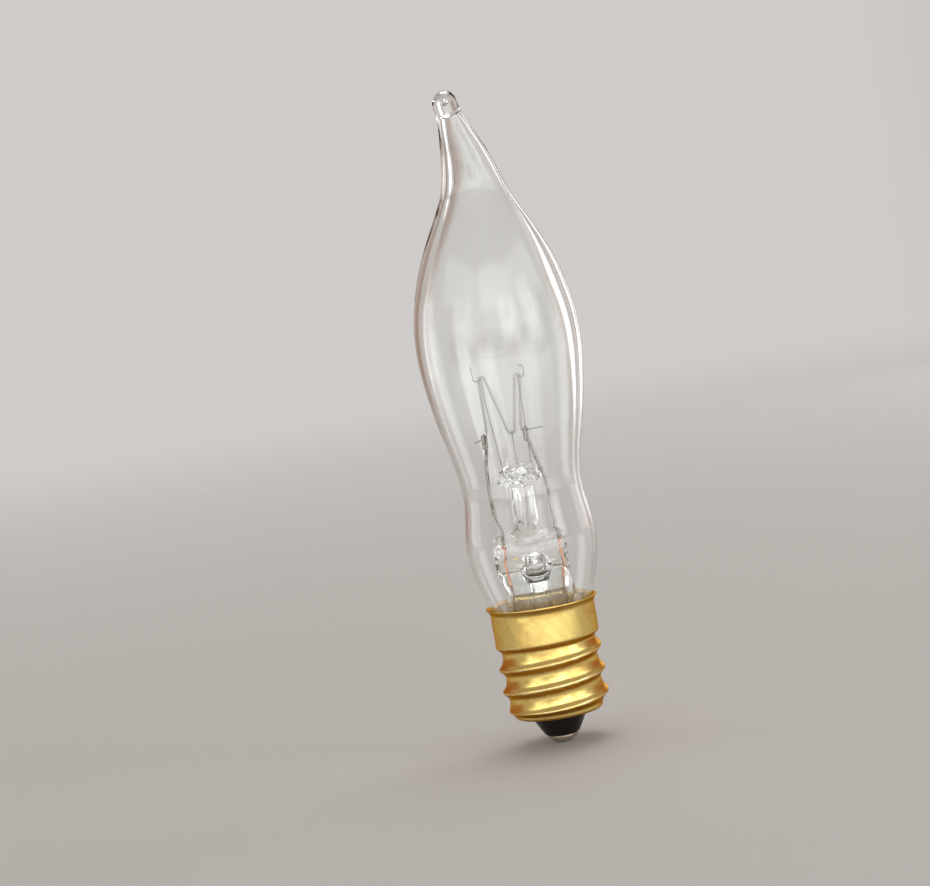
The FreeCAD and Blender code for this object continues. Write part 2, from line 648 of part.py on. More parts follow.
# Basing cement between the glass neck and the cap
gap = cement_clearance
plug = skin_solid([level_ring(h, r + gap) for h, r in outline[:6]])
cement_in = band_radius - sheet - gap
basing_cement = turned([
    (seal_radius - 0.5, band_low + 0.1), (cement_in, band_low + 0.1), (cement_in, band_high),
    (cement_in + 0.02, band_high + 0.20), (cement_in + 0.10, band_high + 0.43),
    (seal_radius - 0.5, band_high + 0.43)])
basing_cement = basing_cement.cut(plug).cut([outer_lead_side, weld])
contact_solder = solder_plug.cut(outer_lead_centre)

save("glass_envelope", glass_envelope)
save("glass_stem", glass_stem)
save("filament", filament)
save("lead_wire_left", lead_wire_left)
save("lead_wire_right", lead_wire_right)
for name, wire in support_wires.items():
    save(name, wire)
save("dumet_seal_left", dumet_seal_left)
save("dumet_seal_right", dumet_seal_right)
save("outer_lead_centre", outer_lead_centre)
save("outer_lead_side", outer_lead_side)
save("lead_weld", weld)
save("basing_cement", basing_cement)
save("base_insulator", base_insulator)
save("contact_eyelet", contact_eyelet)
save("contact_solder", contact_solder)
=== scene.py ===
"""Looks of a candelabra lamp: blown bent-tip envelope, pressed glass stem with its leads,
supports and coiled filament, and a rolled brass screw cap with its contact.

The lamp's named sizes are in millimetres, the stage's and the panel's in metres. The lamp stands
along +Z, and the broad side of its stem lies in an upright plane, turned by STEM_TURN from +X.
"""

import math

import bpy
import numpy as np
from mathutils import Matrix


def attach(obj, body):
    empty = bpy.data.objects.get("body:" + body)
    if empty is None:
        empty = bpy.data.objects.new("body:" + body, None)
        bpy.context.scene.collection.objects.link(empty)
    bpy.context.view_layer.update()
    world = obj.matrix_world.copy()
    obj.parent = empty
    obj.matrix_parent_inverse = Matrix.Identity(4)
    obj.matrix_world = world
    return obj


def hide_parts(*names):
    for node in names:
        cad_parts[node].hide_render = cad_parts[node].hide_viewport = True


bl_info = {
    "name": "Candelabra Lamp",
    "version": (1, 0, 0),
    "blender": (4, 5, 0),
    "location": "3D View > Sidebar > Lamp",
    "description": "Builds a bent-tip candelabra lamp with its glass, wires and brass screw cap",
    "category": "Add Mesh",
}

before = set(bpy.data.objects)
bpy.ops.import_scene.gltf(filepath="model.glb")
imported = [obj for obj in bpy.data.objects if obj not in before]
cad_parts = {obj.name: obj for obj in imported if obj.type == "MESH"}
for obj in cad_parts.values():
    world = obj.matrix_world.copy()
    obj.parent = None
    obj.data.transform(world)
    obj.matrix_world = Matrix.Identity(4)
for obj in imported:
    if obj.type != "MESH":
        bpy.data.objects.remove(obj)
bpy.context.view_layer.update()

MM = 0.001
STEM_TURN = math.radians(-60)

# Cap: heights from the contact up, outer radii of the sheet, and the thread
CAP_LOW = 3.25
THREAD_LOW = 3.67
THREAD_ZONE = 8.20
BAND_LOW = THREAD_LOW + THREAD_ZONE
BAND_HIGH = 14.92
RIM_HEIGHT = 15.67
FOOT_RADIUS, ROOT_RADIUS, CREST_RADIUS, BAND_RADIUS, LIP_RADIUS = 4.95, 5.18, 5.80, 5.75, 6.15
THREAD_PITCH = 2.54
THREAD_START, THREAD_START_TURN = 3.246, math.radians(50)   # a crest's height at a turn round Z
RAMP_SHARE = 0.36               # of the thread's depth that the valley's slope takes
RAMP_TURN = math.radians(32)    # part of the turn by which it starts above the crest
TONGUE_TURN = math.radians(-13.5)   # where the cement has crept up the glass

# Stem: heights, radii, and the hole that was blown at the foot of the press
SEAL_LOW, TUBE_LOW = 9.30, 7.20
PRESS_HIGH = 23.70
BUTTON_LOW, BUTTON_MIDDLE, BUTTON_HIGH = 28.75, 29.45, 31.30
TUBE_RADIUS, BORE_RADIUS = 1.25, 0.80
ROD_RADIUS, BUTTON_RADIUS = 1.30, 2.32
HOLE_HEIGHT, HOLE_RADIUS, LOBE_RADIUS = 19.60, 1.48, 1.85

# Wires: radii
LEAD_RADIUS, SEAL_RADIUS, SUPPORT_RADIUS, LEG_RADIUS = 0.18, 0.14, 0.06, 0.07
CLAMP_GAP = 0.16                # between the two sides of a lead's folded end

# Envelope: length along the centre line and outer radius
OUTLINE = [
    (9.80, 4.40), (12.20, 4.55), (15.70, 5.66), (19.20, 6.75), (22.90, 7.17), (25.50, 6.87),
    (28.20, 6.58), (31.90, 7.01), (36.10, 7.98), (40.30, 8.70), (45.10, 9.03), (49.50, 8.49),
    (54.00, 7.10), (58.00, 5.21), (61.15, 3.70), (65.45, 2.55), (70.30, 1.41), (71.47, 1.34)]
BEND_START = 60.45
BEND_RADIUS = 14.00
BEND_ANGLE = math.radians(21.5)
HOLLOW_END, HOLLOW_END_RADIUS = 70.20, 0.82
WAIST, SHOULDER = 28.20, 54.00  # between them the wall grows from the neck's to the crown's


def colour_of(key):
    """Colour that the panel holds."""
    return tuple(getattr(bpy.context.scene.lamp_look, key + "_colour"))


def size_of(key):
    """Size that the panel holds, in millimetres."""
    return getattr(bpy.context.scene.lamp_sizes, key) / MM


# Mesh tools
def cubic_through(points, samples):
    """Smooth curve through (t, value) points, with a natural cubic spline."""
    t, y = np.array(points, float).T
    h = np.diff(t)
    n = len(t)
    left, right = np.zeros((n, n)), np.zeros(n)
    left[0, 0] = left[-1, -1] = 1
    for i in range(1, n - 1):
        left[i, i - 1:i + 2] = h[i - 1], 2 * (h[i - 1] + h[i]), h[i]
        right[i] = 6 * ((y[i + 1] - y[i]) / h[i] - (y[i] - y[i - 1]) / h[i - 1])
    m = np.linalg.solve(left, right)
    x = np.asarray(samples, float)
    i = np.clip(np.searchsorted(t, x) - 1, 0, n - 2)
    a, b, k = t[i + 1] - x, x - t[i], h[i]
    return (m[i] * a ** 3 + m[i + 1] * b ** 3) / (6 * k) + (y[i] / k - m[i] * k / 6) * a \
        + (y[i + 1] / k - m[i + 1] * k / 6) * b


def grid_faces(rows, columns, flip=False):
    """Quads between rows of vertices that close on themselves."""
    faces = []
    for r in range(rows - 1):
        for c in range(columns):
            d = (c + 1) % columns
            quad = (r * columns + c, r * columns + d, (r + 1) * columns + d, (r + 1) * columns + c)
            faces.append(quad[::-1] if flip else quad)
    return faces


def mesh_object(name, points, faces):
    """Object of the scene with its mesh, from points in metres."""
    mesh = bpy.data.meshes.new(name)
    mesh.from_pydata([tuple(p) for p in points], [], faces)
    made = bpy.data.objects.new(name, mesh)
    bpy.context.scene.collection.objects.link(made)
    return made, mesh


def piece(name, shape, material, nodes, smooth_angle=None):
    """Piece from points in millimetres and faces, in place of nodes, on the lamp's one body."""
    points, faces = shape
    made, mesh = mesh_object(name, np.asarray(points, float) * MM, faces)
    mesh.validate()
    mesh.update()
    mesh.shade_smooth()
    if smooth_angle is not None:
        mesh.set_sharp_from_angle(angle=math.radians(smooth_angle))
    mesh.materials.append(material)
    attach(made, "root")
    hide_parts(*nodes)


def ring_stack(rings):
    """Closed mesh from an array of rings, rows x segments x 3. The first and last rings
    are closed by a fan, unless they meet."""
    rings = np.asarray(rings, float)
    rows, columns = rings.shape[:2]
    points = rings.reshape(-1, 3)
    faces = grid_faces(rows, columns)
    if np.abs(rings[0] - rings[-1]).max() < 1e-9:
        points = points[:-columns]
        last = (rows - 1) * columns
        faces = [tuple(v if v < last else v - last for v in f) for f in faces]
    else:
        points = np.vstack([points, rings[0].mean(0), rings[-1].mean(0)])
        low, high = len(points) - 2, len(points) - 1
        for c in range(columns):
            d = (c + 1) % columns
            faces.append((low, d, c))
            faces.append((high, (rows - 1) * columns + c, (rows - 1) * columns + d))
    return points, faces


def circle(segments):
    """Angles of points evenly round a circle."""
    return np.linspace(0, 2 * math.pi, segments, endpoint=False)


def ring_at(angle, radius, height):
    """Ring of points round Z."""
    return np.column_stack([radius * np.cos(angle), radius * np.sin(angle), height + 0 * angle])


def turned(profile, segments, wobble=None):
    """Rings round Z from (radius, height) points. wobble(angle, radius, height) gives an
    offset of the radius and of the height."""
    angle = circle(segments)
    rings = []
    for r, z in profile:
        dr, dz = wobble(angle, r, z) if wobble else (0.0, 0.0)
        rings.append(ring_at(angle, r + dr, z + dz))
    return rings


def closed(rings):
    """Closed mesh on rings, with its faces turned outwards."""
    points, faces = ring_stack(rings)
    return points, facing_out(points, faces)


def turned_loop(profile, segments, wobble=None):
    """Closed mesh round Z from a profile that ends where it starts."""
    rings = turned(profile, segments, wobble)
    return closed(rings[:-1] + rings[:1])


def finely(profile, spacing):
    """The same closed profile with more points along its long runs."""
    fine = []
    for (r0, z0), (r1, z1) in zip(profile, profile[1:]):
        n = max(1, int(math.hypot(r1 - r0, z1 - z0) / spacing))
        fine += [(r0 + (r1 - r0) * k / n, z0 + (z1 - z0) * k / n) for k in range(n)]
    return fine + fine[:1]


def rounded(corners, steps=5):
    """Polyline (radius, height, rounding) with its corners rounded off."""
    out = []
    for i, (r, z, fillet) in enumerate(corners):
        if fillet <= 0 or i in (0, len(corners) - 1):
            out.append((r, z))
            continue
        here = np.array([r, z])
        back, ahead = np.array(corners[i - 1][:2]) - here, np.array(corners[i + 1][:2]) - here
        reach = min(fillet, np.linalg.norm(back) * 0.49, np.linalg.norm(ahead) * 0.49)
        a = here + back / np.linalg.norm(back) * reach
        b = here + ahead / np.linalg.norm(ahead) * reach
        for k in np.linspace(0, 1, steps):
            out.append(tuple((1 - k) ** 2 * a + 2 * k * (1 - k) * here + k * k * b))
    return out


def stem_points(points):
    """Points of the stem's own frame (along the press, towards its face, up) in the row."""
    p = np.asarray(points, float).reshape(-1, 3)
    c, s = math.cos(STEM_TURN), math.sin(STEM_TURN)
    return np.column_stack([p[:, 0] * c + p[:, 1] * s, p[:, 0] * s - p[:, 1] * c, p[:, 2]])


def bent_path(points, bend, spacing=0.12):
    """Points along straight runs joined by arcs."""
    pts = [np.array(p, float) for p in points]
    path = [pts[0]]
    for before, corner, after in zip(pts, pts[1:], pts[2:]):
        d1, d2 = corner - before, after - corner
        room = min(np.linalg.norm(d1), np.linalg.norm(d2)) * 0.48
        d1, d2 = d1 / np.linalg.norm(d1), d2 / np.linalg.norm(d2)
        turn = math.acos(max(-1.0, min(1.0, float(d1 @ d2))))
        if turn < 1e-3:
            continue
        radius = min(bend, room / math.tan(turn / 2))
        start = corner - d1 * radius * math.tan(turn / 2)
        side = d2 - d1 * (d1 @ d2)
        side /= np.linalg.norm(side)
        for k in np.linspace(0, turn, max(3, int(radius * turn / spacing) + 2)):
            path.append(start + d1 * radius * math.sin(k) + side * radius * (1 - math.cos(k)))
    path.append(pts[-1])
    path = np.array(path)
    steps = np.linalg.norm(np.diff(path, axis=0), axis=1)
    keep = np.r_[True, steps > 1e-6]
    return path[keep]


def even(path, spacing):
    """The same path with points at an even spacing."""
    length = np.r_[0, np.cumsum(np.linalg.norm(np.diff(path, axis=0), axis=1))]
    count = max(2, int(round(length[-1] / spacing)) + 1)
    at = np.linspace(0, length[-1], count)
    return np.column_stack([np.interp(at, length, path[:, k]) for k in range(3)]), at


def carried_frames(path):
    """Directions along and across a path, carried along it without twist."""
    along = np.gradient(path, axis=0)
    along /= np.linalg.norm(along, axis=1)[:, None]
    helper = np.array([0.0, 1.0, 0.0]) if abs(along[0][1]) < 0.9 else np.array([1.0, 0.0, 0.0])
    across = [np.cross(along[0], helper)]
    across[0] /= np.linalg.norm(across[0])
    for k in range(1, len(path)):
        a = across[-1] - along[k] * (across[-1] @ along[k])
        across.append(a / np.linalg.norm(a))
    across = np.array(across)
    return along, across, np.cross(along, across)


def tube_rings(path, radius, segments):
    """Rings round a path, with rounded ends."""
    along, across, third = carried_frames(path)
    angle = circle(segments)

    def ring(k, centre, r):
        return centre + r * (np.cos(angle)[:, None] * across[k] + np.sin(angle)[:, None] * third[k])

    def end(k, sign):
        return [ring(k, path[k] + sign * along[k] * radius * share * 0.45,
                     radius * math.sqrt(1 - share ** 2)) for share in (0.35, 0.75, 0.95)]

    return end(0, -1)[::-1] + [ring(k, centre, radius) for k, centre in enumerate(path)] + end(-1, 1)


def joined(parts):
    """Several (points, faces) meshes as one."""
    points, faces, start = [], [], 0
    for p, f in parts:
        points.append(p)
        faces += [tuple(v + start for v in q) for q in f]
        start += len(p)
    return np.vstack(points), faces


def facing_out(points, faces):
    """The faces, turned so that the closed mesh has a positive volume."""
    p = np.asarray(points)
    volume = 0.0
    for f in faces:
        for k in range(1, len(f) - 1):
            volume += np.dot(p[f[0]], np.cross(p[f[k]], p[f[k + 1]]))
    return faces if volume > 0 else [f[::-1] for f in faces]


def wire(points, radius, bend, segments=14, spacing=0.12, kink=0.0, seed=1):
    """Round wire in the row's frame from points in the stem's frame."""
    path, _ = even(bent_path(points, bend, spacing), spacing)
    if kink:
        rng = np.random.default_rng(seed)
        sway = sum(np.sin(np.linspace(0, math.pi * n, len(path)))[:, None] * rng.normal(0, 1 / n, 3)
                   for n in (3, 5, 8))
        fade = np.sin(np.linspace(0, math.pi, len(path)))[:, None]
        path = path + sway * fade * kink
    return closed(tube_rings(stem_points(path), radius, segments))


# Melted glass: a surface where a field of (x, y, z) is zero, negative inside
def melt(a, b, width):
    """Union of two fields with a fillet."""
    h = np.clip(0.5 + 0.5 * (b - a) / width, 0, 1)
    return b * (1 - h) + a * h - width * h * (1 - h)


def carve(a, b, width):
    """Field a with field b taken out, with a rounded edge."""
    return -melt(-a, b, width)


def neighbours(axis):
    """Slices that pair each value of a grid with the next one along an axis."""
    a, b = [slice(None)] * 3, [slice(None)] * 3
    a[axis], b[axis] = slice(0, -1), slice(1, None)
    return a, b


def field_mesh(field, low, high, cell):
    """Closed quad mesh on a field's zero surface."""
    axes = [np.arange(l, h + cell, cell) for l, h in zip(low, high)]
    x, y, z = np.meshgrid(*axes, indexing="ij")
    value = field(x, y, z)
    inside = value < 0
    shape = np.array(value.shape)
    cells = tuple(shape - 1)
    total, count = np.zeros(cells + (3,)), np.zeros(cells)
    for axis in range(3):
        a, b = neighbours(axis)
        va, vb = value[tuple(a)], value[tuple(b)]
        cross = (va < 0) != (vb < 0)
        share = np.where(cross, va / np.where(cross, va - vb, 1), 0)
        others = [k for k in range(3) if k != axis]
        for i in (0, 1):
            for j in (0, 1):
                pick = [slice(None)] * 3
                pick[others[0]] = slice(i, cells[others[0]] + i)
                pick[others[1]] = slice(j, cells[others[1]] + j)
                c, s = cross[tuple(pick)], share[tuple(pick)]
                total[..., axis] += np.where(c, s, 0)
                total[..., others[0]] += np.where(c, i, 0)
                total[..., others[1]] += np.where(c, j, 0)
                count += c
    used = count > 0
    index = np.full(cells, -1)
    index[used] = np.arange(used.sum())
    at = np.argwhere(used)
    points = (total[used] / count[used][:, None] + at) * cell + np.array([a[0] for a in axes])
    faces = []
    for axis in range(3):
        u, v = (axis + 1) % 3, (axis + 2) % 3
        a, b = neighbours(axis)
        for k in (u, v):
            a[k] = b[k] = slice(1, -1)
        out_in = inside[tuple(a)].astype(int) - inside[tuple(b)].astype(int)
        edges = np.argwhere(out_in != 0)
        sign = out_in[out_in != 0]
        edges[:, u] += 1
        edges[:, v] += 1
        corner = []
        for du, dv in ((-1, -1), (0, -1), (0, 0), (-1, 0)):
            c = edges.copy()
            c[:, u] += du
            c[:, v] += dv
            corner.append(index[c[:, 0], c[:, 1], c[:, 2]])
        quads = np.column_stack(corner)
        quads[sign < 0] = quads[sign < 0][:, ::-1]
        faces.append(quads)
    for _ in range(3):
        f = field(*points.T)
        step = 0.2 * cell
        slope = np.column_stack([
            (field(*(points + step * unit).T) - field(*(points - step * unit).T)) / (2 * step)
            for unit in np.eye(3)])
        move = -f[:, None] * slope / np.maximum((slope ** 2).sum(1), 1e-6)[:, None]
        reach = np.linalg.norm(move, axis=1)[:, None]
        points = points + move * np.minimum(1, 0.4 * cell / np.maximum(reach, 1e-9))
    return points, [tuple(q) for q in np.vstack(faces)]


# Materials
PASSED_LIGHT = 0.82     # share of the light for other surfaces that goes straight through glass


def feed(tree, socket, value):
    """Set an input, or link another node's output to it."""
    if isinstance(value, bpy.types.NodeSocket):
        tree.links.new(value, socket)
    else:
        socket.default_value = value


def add(tree, kind, **values):
    """Node with its settings, and with its inputs fed where a name matches one."""
    node = tree.nodes.new(kind)
    for key, value in values.items():
        if hasattr(node, key):
            setattr(node, key, value)
        else:
            feed(tree, node.inputs[key.replace("_", " ")], value)
    return node


def maths(tree, operation, *values):
    node = add(tree, "ShaderNodeMath", operation=operation)
    for socket, value in zip(node.inputs, values):
        feed(tree, socket, value)
    return node.outputs[0]


def spread(tree, value, low, high, to_low=0.0, to_high=1.0):
    """Map a value from one range to another, smoothly and clamped."""
    node = add(tree, "ShaderNodeMapRange", interpolation_type="SMOOTHSTEP")
    for socket, number in zip(node.inputs, (value, low, high, to_low, to_high)):
        feed(tree, socket, number)
    return node.outputs[0]


def blend(tree, factor, a, b):
    """Colour mix. a and b are colours or outputs."""
    node = add(tree, "ShaderNodeMix", data_type="RGBA")
    feed(tree, node.inputs[0], factor)
    for socket, value in ((node.inputs[6], a), (node.inputs[7], b)):
        feed(tree, socket, tuple(value) + (1,) if isinstance(value, tuple) else value)
    return node.outputs[2]


def times(tree, vector, factors):
    node = add(tree, "ShaderNodeVectorMath", operation="MULTIPLY")
    feed(tree, node.inputs[0], vector)
    feed(tree, node.inputs[1], factors)
    return node.outputs[0]


def place_of(tree, kind="Object"):
    return add(tree, "ShaderNodeTexCoord").outputs[kind]


def parts_of(tree, vector):
    return add(tree, "ShaderNodeSeparateXYZ", Vector=vector).outputs


def noise(tree, vector, **values):
    return add(tree, "ShaderNodeTexNoise", Vector=vector, **values).outputs["Fac"]


def new_group(name, inputs, *outputs):
    """Empty shader node group with float sockets: the group, what goes in and what comes out."""
    group = bpy.data.node_groups.new(name, "ShaderNodeTree")
    for label, default in inputs.items():
        socket = group.interface.new_socket(label, in_out="INPUT", socket_type="NodeSocketFloat")
        socket.default_value = default
    for label in outputs:
        group.interface.new_socket(label, in_out="OUTPUT", socket_type="NodeSocketFloat")
    return group, group.nodes.new("NodeGroupInput").outputs, group.nodes.new("NodeGroupOutput").inputs


def melt_ripple_group():
    """Soft waves and drawn-out cords that blown or pressed glass keeps in its surface."""
    group, given, made = new_group("Melt ripple", {"Scale": 250.0, "Stretch": 0.3}, "Height")
    factors = add(group, "ShaderNodeCombineXYZ", X=1.0, Y=1.0, Z=given["Stretch"])
    drawn = times(group, place_of(group), factors.outputs[0])
    feed(group, made["Height"], noise(group, drawn, Detail=1.5, Roughness=0.4, Scale=given["Scale"]))
    return group


def handled_film_group():
    """Thin uneven film from handling, in smears, for gloss that isn't the same all over."""
    group, given, made = new_group(
        "Handled film", {"Clean": 0.0, "Filmed": 0.2, "Scale": 180.0}, "Roughness", "Mask")
    smear = noise(
        group, place_of(group), Detail=5.0, Roughness=0.62, Distortion=0.8, Scale=given["Scale"])
    mask = spread(group, smear, 0.48, 0.72)
    filmed = maths(group, "MULTIPLY", mask, maths(group, "SUBTRACT", given["Filmed"], given["Clean"]))
    feed(group, made["Roughness"], maths(group, "ADD", given["Clean"], filmed))
    feed(group, made["Mask"], mask)
    return group


def fine_wear_group():
    """Hair scratches and small pits in metal and insulator."""
    group, given, made = new_group("Fine wear", {"Scale": 900.0, "Pits": 0.5}, "Height")
    place = place_of(group)
    long = times(group, place, (1.0, 1.0, 7.0))
    lines = noise(group, long, Detail=4.0, Roughness=0.7, Scale=given["Scale"])
    pits = add(group, "ShaderNodeTexVoronoi", feature="F1", distance="EUCLIDEAN", Vector=place,
               Scale=maths(group, "MULTIPLY", given["Scale"], 2.2))
    pit = maths(group, "MULTIPLY", spread(group, pits.outputs["Distance"], 0.30, 0.06), given["Pits"])
    feed(group, made["Height"], maths(group, "SUBTRACT", lines, pit))
    return group


GROUP_MAKERS = {"Melt ripple": melt_ripple_group, "Handled film": handled_film_group,
                "Fine wear": fine_wear_group}


def use(tree, name, **values):
    """Outputs of one of the shared groups, placed in a material with its own values."""
    group = bpy.data.node_groups.get(name) or GROUP_MAKERS[name]()
    return add(tree, "ShaderNodeGroup", node_tree=group, **values).outputs


def new_material(name, **values):
    """Material with its Principled shader's sockets set. There is no tree where it was made before."""
    material = bpy.data.materials.get(name)
    if material:
        return material, None, None
    material = bpy.data.materials.new(name)
    material.use_nodes = True
    shader = material.node_tree.nodes["Principled BSDF"]
    for key, value in values.items():
        whole = tuple(value) + (1,) if isinstance(value, tuple) and len(value) == 3 else value
        shader.inputs[key.replace("_", " ")].default_value = whole
    return material, material.node_tree, shader


def bump(tree, shader, height, strength, distance):
    node = add(tree, "ShaderNodeBump", Strength=strength, Distance=distance, Height=height)
    feed(tree, shader.inputs["Normal"], node.outputs[0])


def clear_glass(name, colour, ior, scale, stretch):
    """Glass that passes most light from the cards and the surround straight on to other surfaces."""
    material, tree, shader = new_material(
        name, Base_Color=colour, Transmission_Weight=1.0, IOR=ior, Roughness=0.0, Metallic=0.0)
    if tree:
        ripple = use(tree, "Melt ripple", Scale=scale, Stretch=stretch)
        bump(tree, shader, ripple["Height"], 0.12, 0.0004)
        rays = add(tree, "ShaderNodeLightPath").outputs
        matte = maths(tree, "MAXIMUM", rays["Is Shadow Ray"], rays["Is Diffuse Ray"])
        passed = maths(tree, "MULTIPLY", matte, PASSED_LIGHT)
        feed(tree, shader.inputs["Alpha"], maths(tree, "SUBTRACT", 1.0, passed))
    return material


def cap_brass():
    material, tree, shader = new_material(
        "Rolled cap brass", Metallic=1.0, Specular_Tint=(0.80, 0.50, 0.26))
    if tree:
        bright, dull_film_and_shade = colour_of("brass"), colour_of("film_and_shade")
        # pale brass of the crests, both rubbed bare metal and a painted highlight
        bare = (0.95, 0.80, 0.42)
        film = use(tree, "Handled film", Clean=0.26, Filmed=0.40, Scale=260.0)
        colour = blend(tree, maths(tree, "MULTIPLY", film["Mask"], 0.45), bright, dull_film_and_shade)
        # painted shade: the undersides of the crests and of the lip, which face down, are painted a
        # darker brown
        facing = parts_of(tree, add(tree, "ShaderNodeNewGeometry").outputs["Normal"])
        under = maths(tree, "MULTIPLY", spread(tree, facing[2], -0.12, -0.55), 0.75)
        colour = blend(tree, under, colour, tuple(0.55 * c for c in dull_film_and_shade))
        # painted highlight and wear: the thread's crests are painted paler in spots, both as rubbed bare
        # brass and as the highlight along the crest lines
        place = place_of(tree)
        x, y, z = parts_of(tree, place)
        radius = maths(tree, "SQRT", maths(tree, "ADD", maths(tree, "POWER", x, 2.0),
                                           maths(tree, "POWER", y, 2.0)))
        crest = maths(tree, "MULTIPLY", spread(tree, radius, 0.00572, 0.005785),
                      spread(tree, z, 0.01185, 0.0115))
        mottle = noise(tree, place, Scale=900.0, Detail=4.0, Roughness=0.7)
        crest_wear_and_highlight = maths(tree, "MULTIPLY", crest, spread(tree, mottle, 0.40, 0.60))
        feed(tree, shader.inputs["Base Color"], blend(tree, crest_wear_and_highlight, colour, bare))
        feed(tree, shader.inputs["Roughness"],
             maths(tree, "ADD", film["Roughness"], maths(tree, "MULTIPLY", crest, 0.12)))
        bump(tree, shader, use(tree, "Fine wear", Scale=1500.0, Pits=0.35)["Height"], 0.18, 0.00004)
    return material


# Colour, colour under the film, roughness where clean and filmed, and metallic
METALS = {
    "Drawn nickel wire": ((0.34, 0.31, 0.29), (0.15, 0.12, 0.11), 0.25, 0.45, 1.0),
    "Thin support wire": ((0.34, 0.33, 0.32), (0.20, 0.19, 0.18), 0.30, 0.45, 1.0),
    "Sealed copper wire": ((0.85, 0.42, 0.24), (0.52, 0.15, 0.08), 0.20, 0.40, 1.0),
    "Outer lead wire": ((0.34, 0.24, 0.17), (0.14, 0.09, 0.06), 0.30, 0.50, 1.0),
    "Coiled tungsten": ((0.50, 0.49, 0.48), (0.36, 0.35, 0.34), 0.35, 0.50, 1.0),
    "Soft solder": ((0.42, 0.32, 0.26), (0.30, 0.22, 0.17), 0.55, 0.70, 0.35),
    "Tinned eyelet": ((0.46, 0.40, 0.32), (0.30, 0.24, 0.17), 0.30, 0.50, 1.0)}


def metal(name):
    """One of the metals of the wires and of the contact."""
    colour, dark, clean, filmed, metallic = METALS[name]
    material, tree, shader = new_material(name, Metallic=metallic)
    if tree:
        film = use(tree, "Handled film", Clean=clean, Filmed=filmed, Scale=900.0)
        feed(tree, shader.inputs["Base Color"], blend(tree, film["Mask"], colour, dark))
        feed(tree, shader.inputs["Roughness"], film["Roughness"])
        bump(tree, shader, use(tree, "Fine wear", Scale=3000.0, Pits=0.2)["Height"], 0.25, 0.00002)
    return material


def black_insulator():
    material, tree, shader = new_material(
        "Black insulator glass", Base_Color=colour_of("insulator"),
        Specular_IOR_Level=0.3, IOR=1.50)
    if tree:
        film = use(tree, "Handled film", Clean=0.18, Filmed=0.40, Scale=420.0)
        feed(tree, shader.inputs["Roughness"], film["Roughness"])
        bump(tree, shader, use(tree, "Fine wear", Scale=700.0, Pits=0.6)["Height"], 0.25, 0.00006)
    return material


def cement():
    material, tree, shader = new_material("Basing cement", Roughness=0.85, Specular_IOR_Level=0.25)
    if tree:
        grain = noise(tree, place_of(tree), Scale=2200.0, Detail=6.0, Roughness=0.7)
        pale, dark = colour_of("cement"), tuple(0.62 * c for c in colour_of("cement"))
        mixed = blend(tree, spread(tree, grain, 0.35, 0.65), dark, pale)
        feed(tree, shader.inputs["Base Color"], mixed)
        bump(tree, shader, grain, 0.6, 0.00012)
    return material


# Shapes
def on_centre_line(length):
    """Centre, across and along directions of the envelope's section at a length."""
    turn = np.clip((length - BEND_START) / BEND_RADIUS, 0, BEND_ANGLE)
    past = max(length - BEND_START - BEND_RADIUS * turn, 0.0)
    centre = np.array([-BEND_RADIUS * (1 - math.cos(turn)) - past * math.sin(turn), 0.0,
                       min(length, BEND_START) + BEND_RADIUS * math.sin(turn) + past * math.cos(turn)])
    return centre, np.array([math.cos(turn), 0, math.sin(turn)]), np.array([0.0, 1.0, 0.0])


def envelope_mesh(wall, crown_wall, segments=128):
    """Outer and inner surface of the blown glass, closed at the neck's end and the tip, and
    the bubble that was left in the tip's bead."""
    angle = circle(segments)

    def ring(length, radius, drop=0.0, uneven=0.0):
        centre, across, third = on_centre_line(length)
        up = np.cross(across, third)
        # the wall is thicker on one side and waves a little, as hand-turned glass does
        radius = radius + uneven * np.cos(angle - 2.1) \
            + 0.10 * abs(uneven) * np.sin(3 * angle + 0.11 * length)
        return centre + up * drop + radius[:, None] * (
            np.cos(angle)[:, None] * across + np.sin(angle)[:, None] * third)

    bead_length, bead_radius = OUTLINE[-1]
    lengths = np.concatenate([np.linspace(9.80, 60.0, 150), np.linspace(60.3, bead_length, 44)])
    outer = [ring(s, r) for s, r in zip(lengths, cubic_through(OUTLINE, lengths))]
    for k in np.linspace(0, math.pi / 2, 14)[1:-1]:
        outer.append(ring(bead_length, bead_radius * math.cos(k), bead_radius * math.sin(k)))
    slopes = np.gradient([r for _, r in OUTLINE], [s for s, _ in OUTLINE])
    hollow = [(OUTLINE[0][0], OUTLINE[0][1] - wall)]
    for (s, r), slope in list(zip(OUTLINE, slopes))[1:]:
        if s < HOLLOW_END - 1:
            share = min(max((s - WAIST) / (SHOULDER - WAIST), 0.0), 1.0)
            drawn = min(max((s - SHOULDER) / 8, 0.0), 1.0)
            here = wall + (crown_wall - wall) * share * share * (3 - 2 * share) - 0.25 * drawn
            hollow.append((s, r - here * math.hypot(1, slope)))
    hollow.append((HOLLOW_END, HOLLOW_END_RADIUS))
    lengths = np.concatenate([np.linspace(9.80, 60.0, 150), np.linspace(60.3, HOLLOW_END, 40)])
    inner = []
    for s, r in zip(lengths, cubic_through(hollow, lengths)):
        uneven = np.interp(s, [WAIST, WAIST + 12, 50.0, 58.5, 66.0, HOLLOW_END],
                           [0.0, 0.10, 0.10, -0.33, -0.30, -0.16])
        inner.append(ring(s, r, 0.0, uneven))
    for k in np.linspace(0, 1, 8)[1:-1]:
        inner.append(ring(HOLLOW_END, HOLLOW_END_RADIUS * (1 - k), -0.20 * (1 - (1 - k) ** 2),
                          -0.16 * (1 - k)))
    bubble, hole = closed([ring(bead_length + 0.05, 0.27 * math.sin(k), -0.27 * math.cos(k))
                           for k in np.linspace(0, math.pi, 18)[1:-1]])
    return joined([closed(inner[::-1] + outer), (bubble, [f[::-1] for f in hole])])


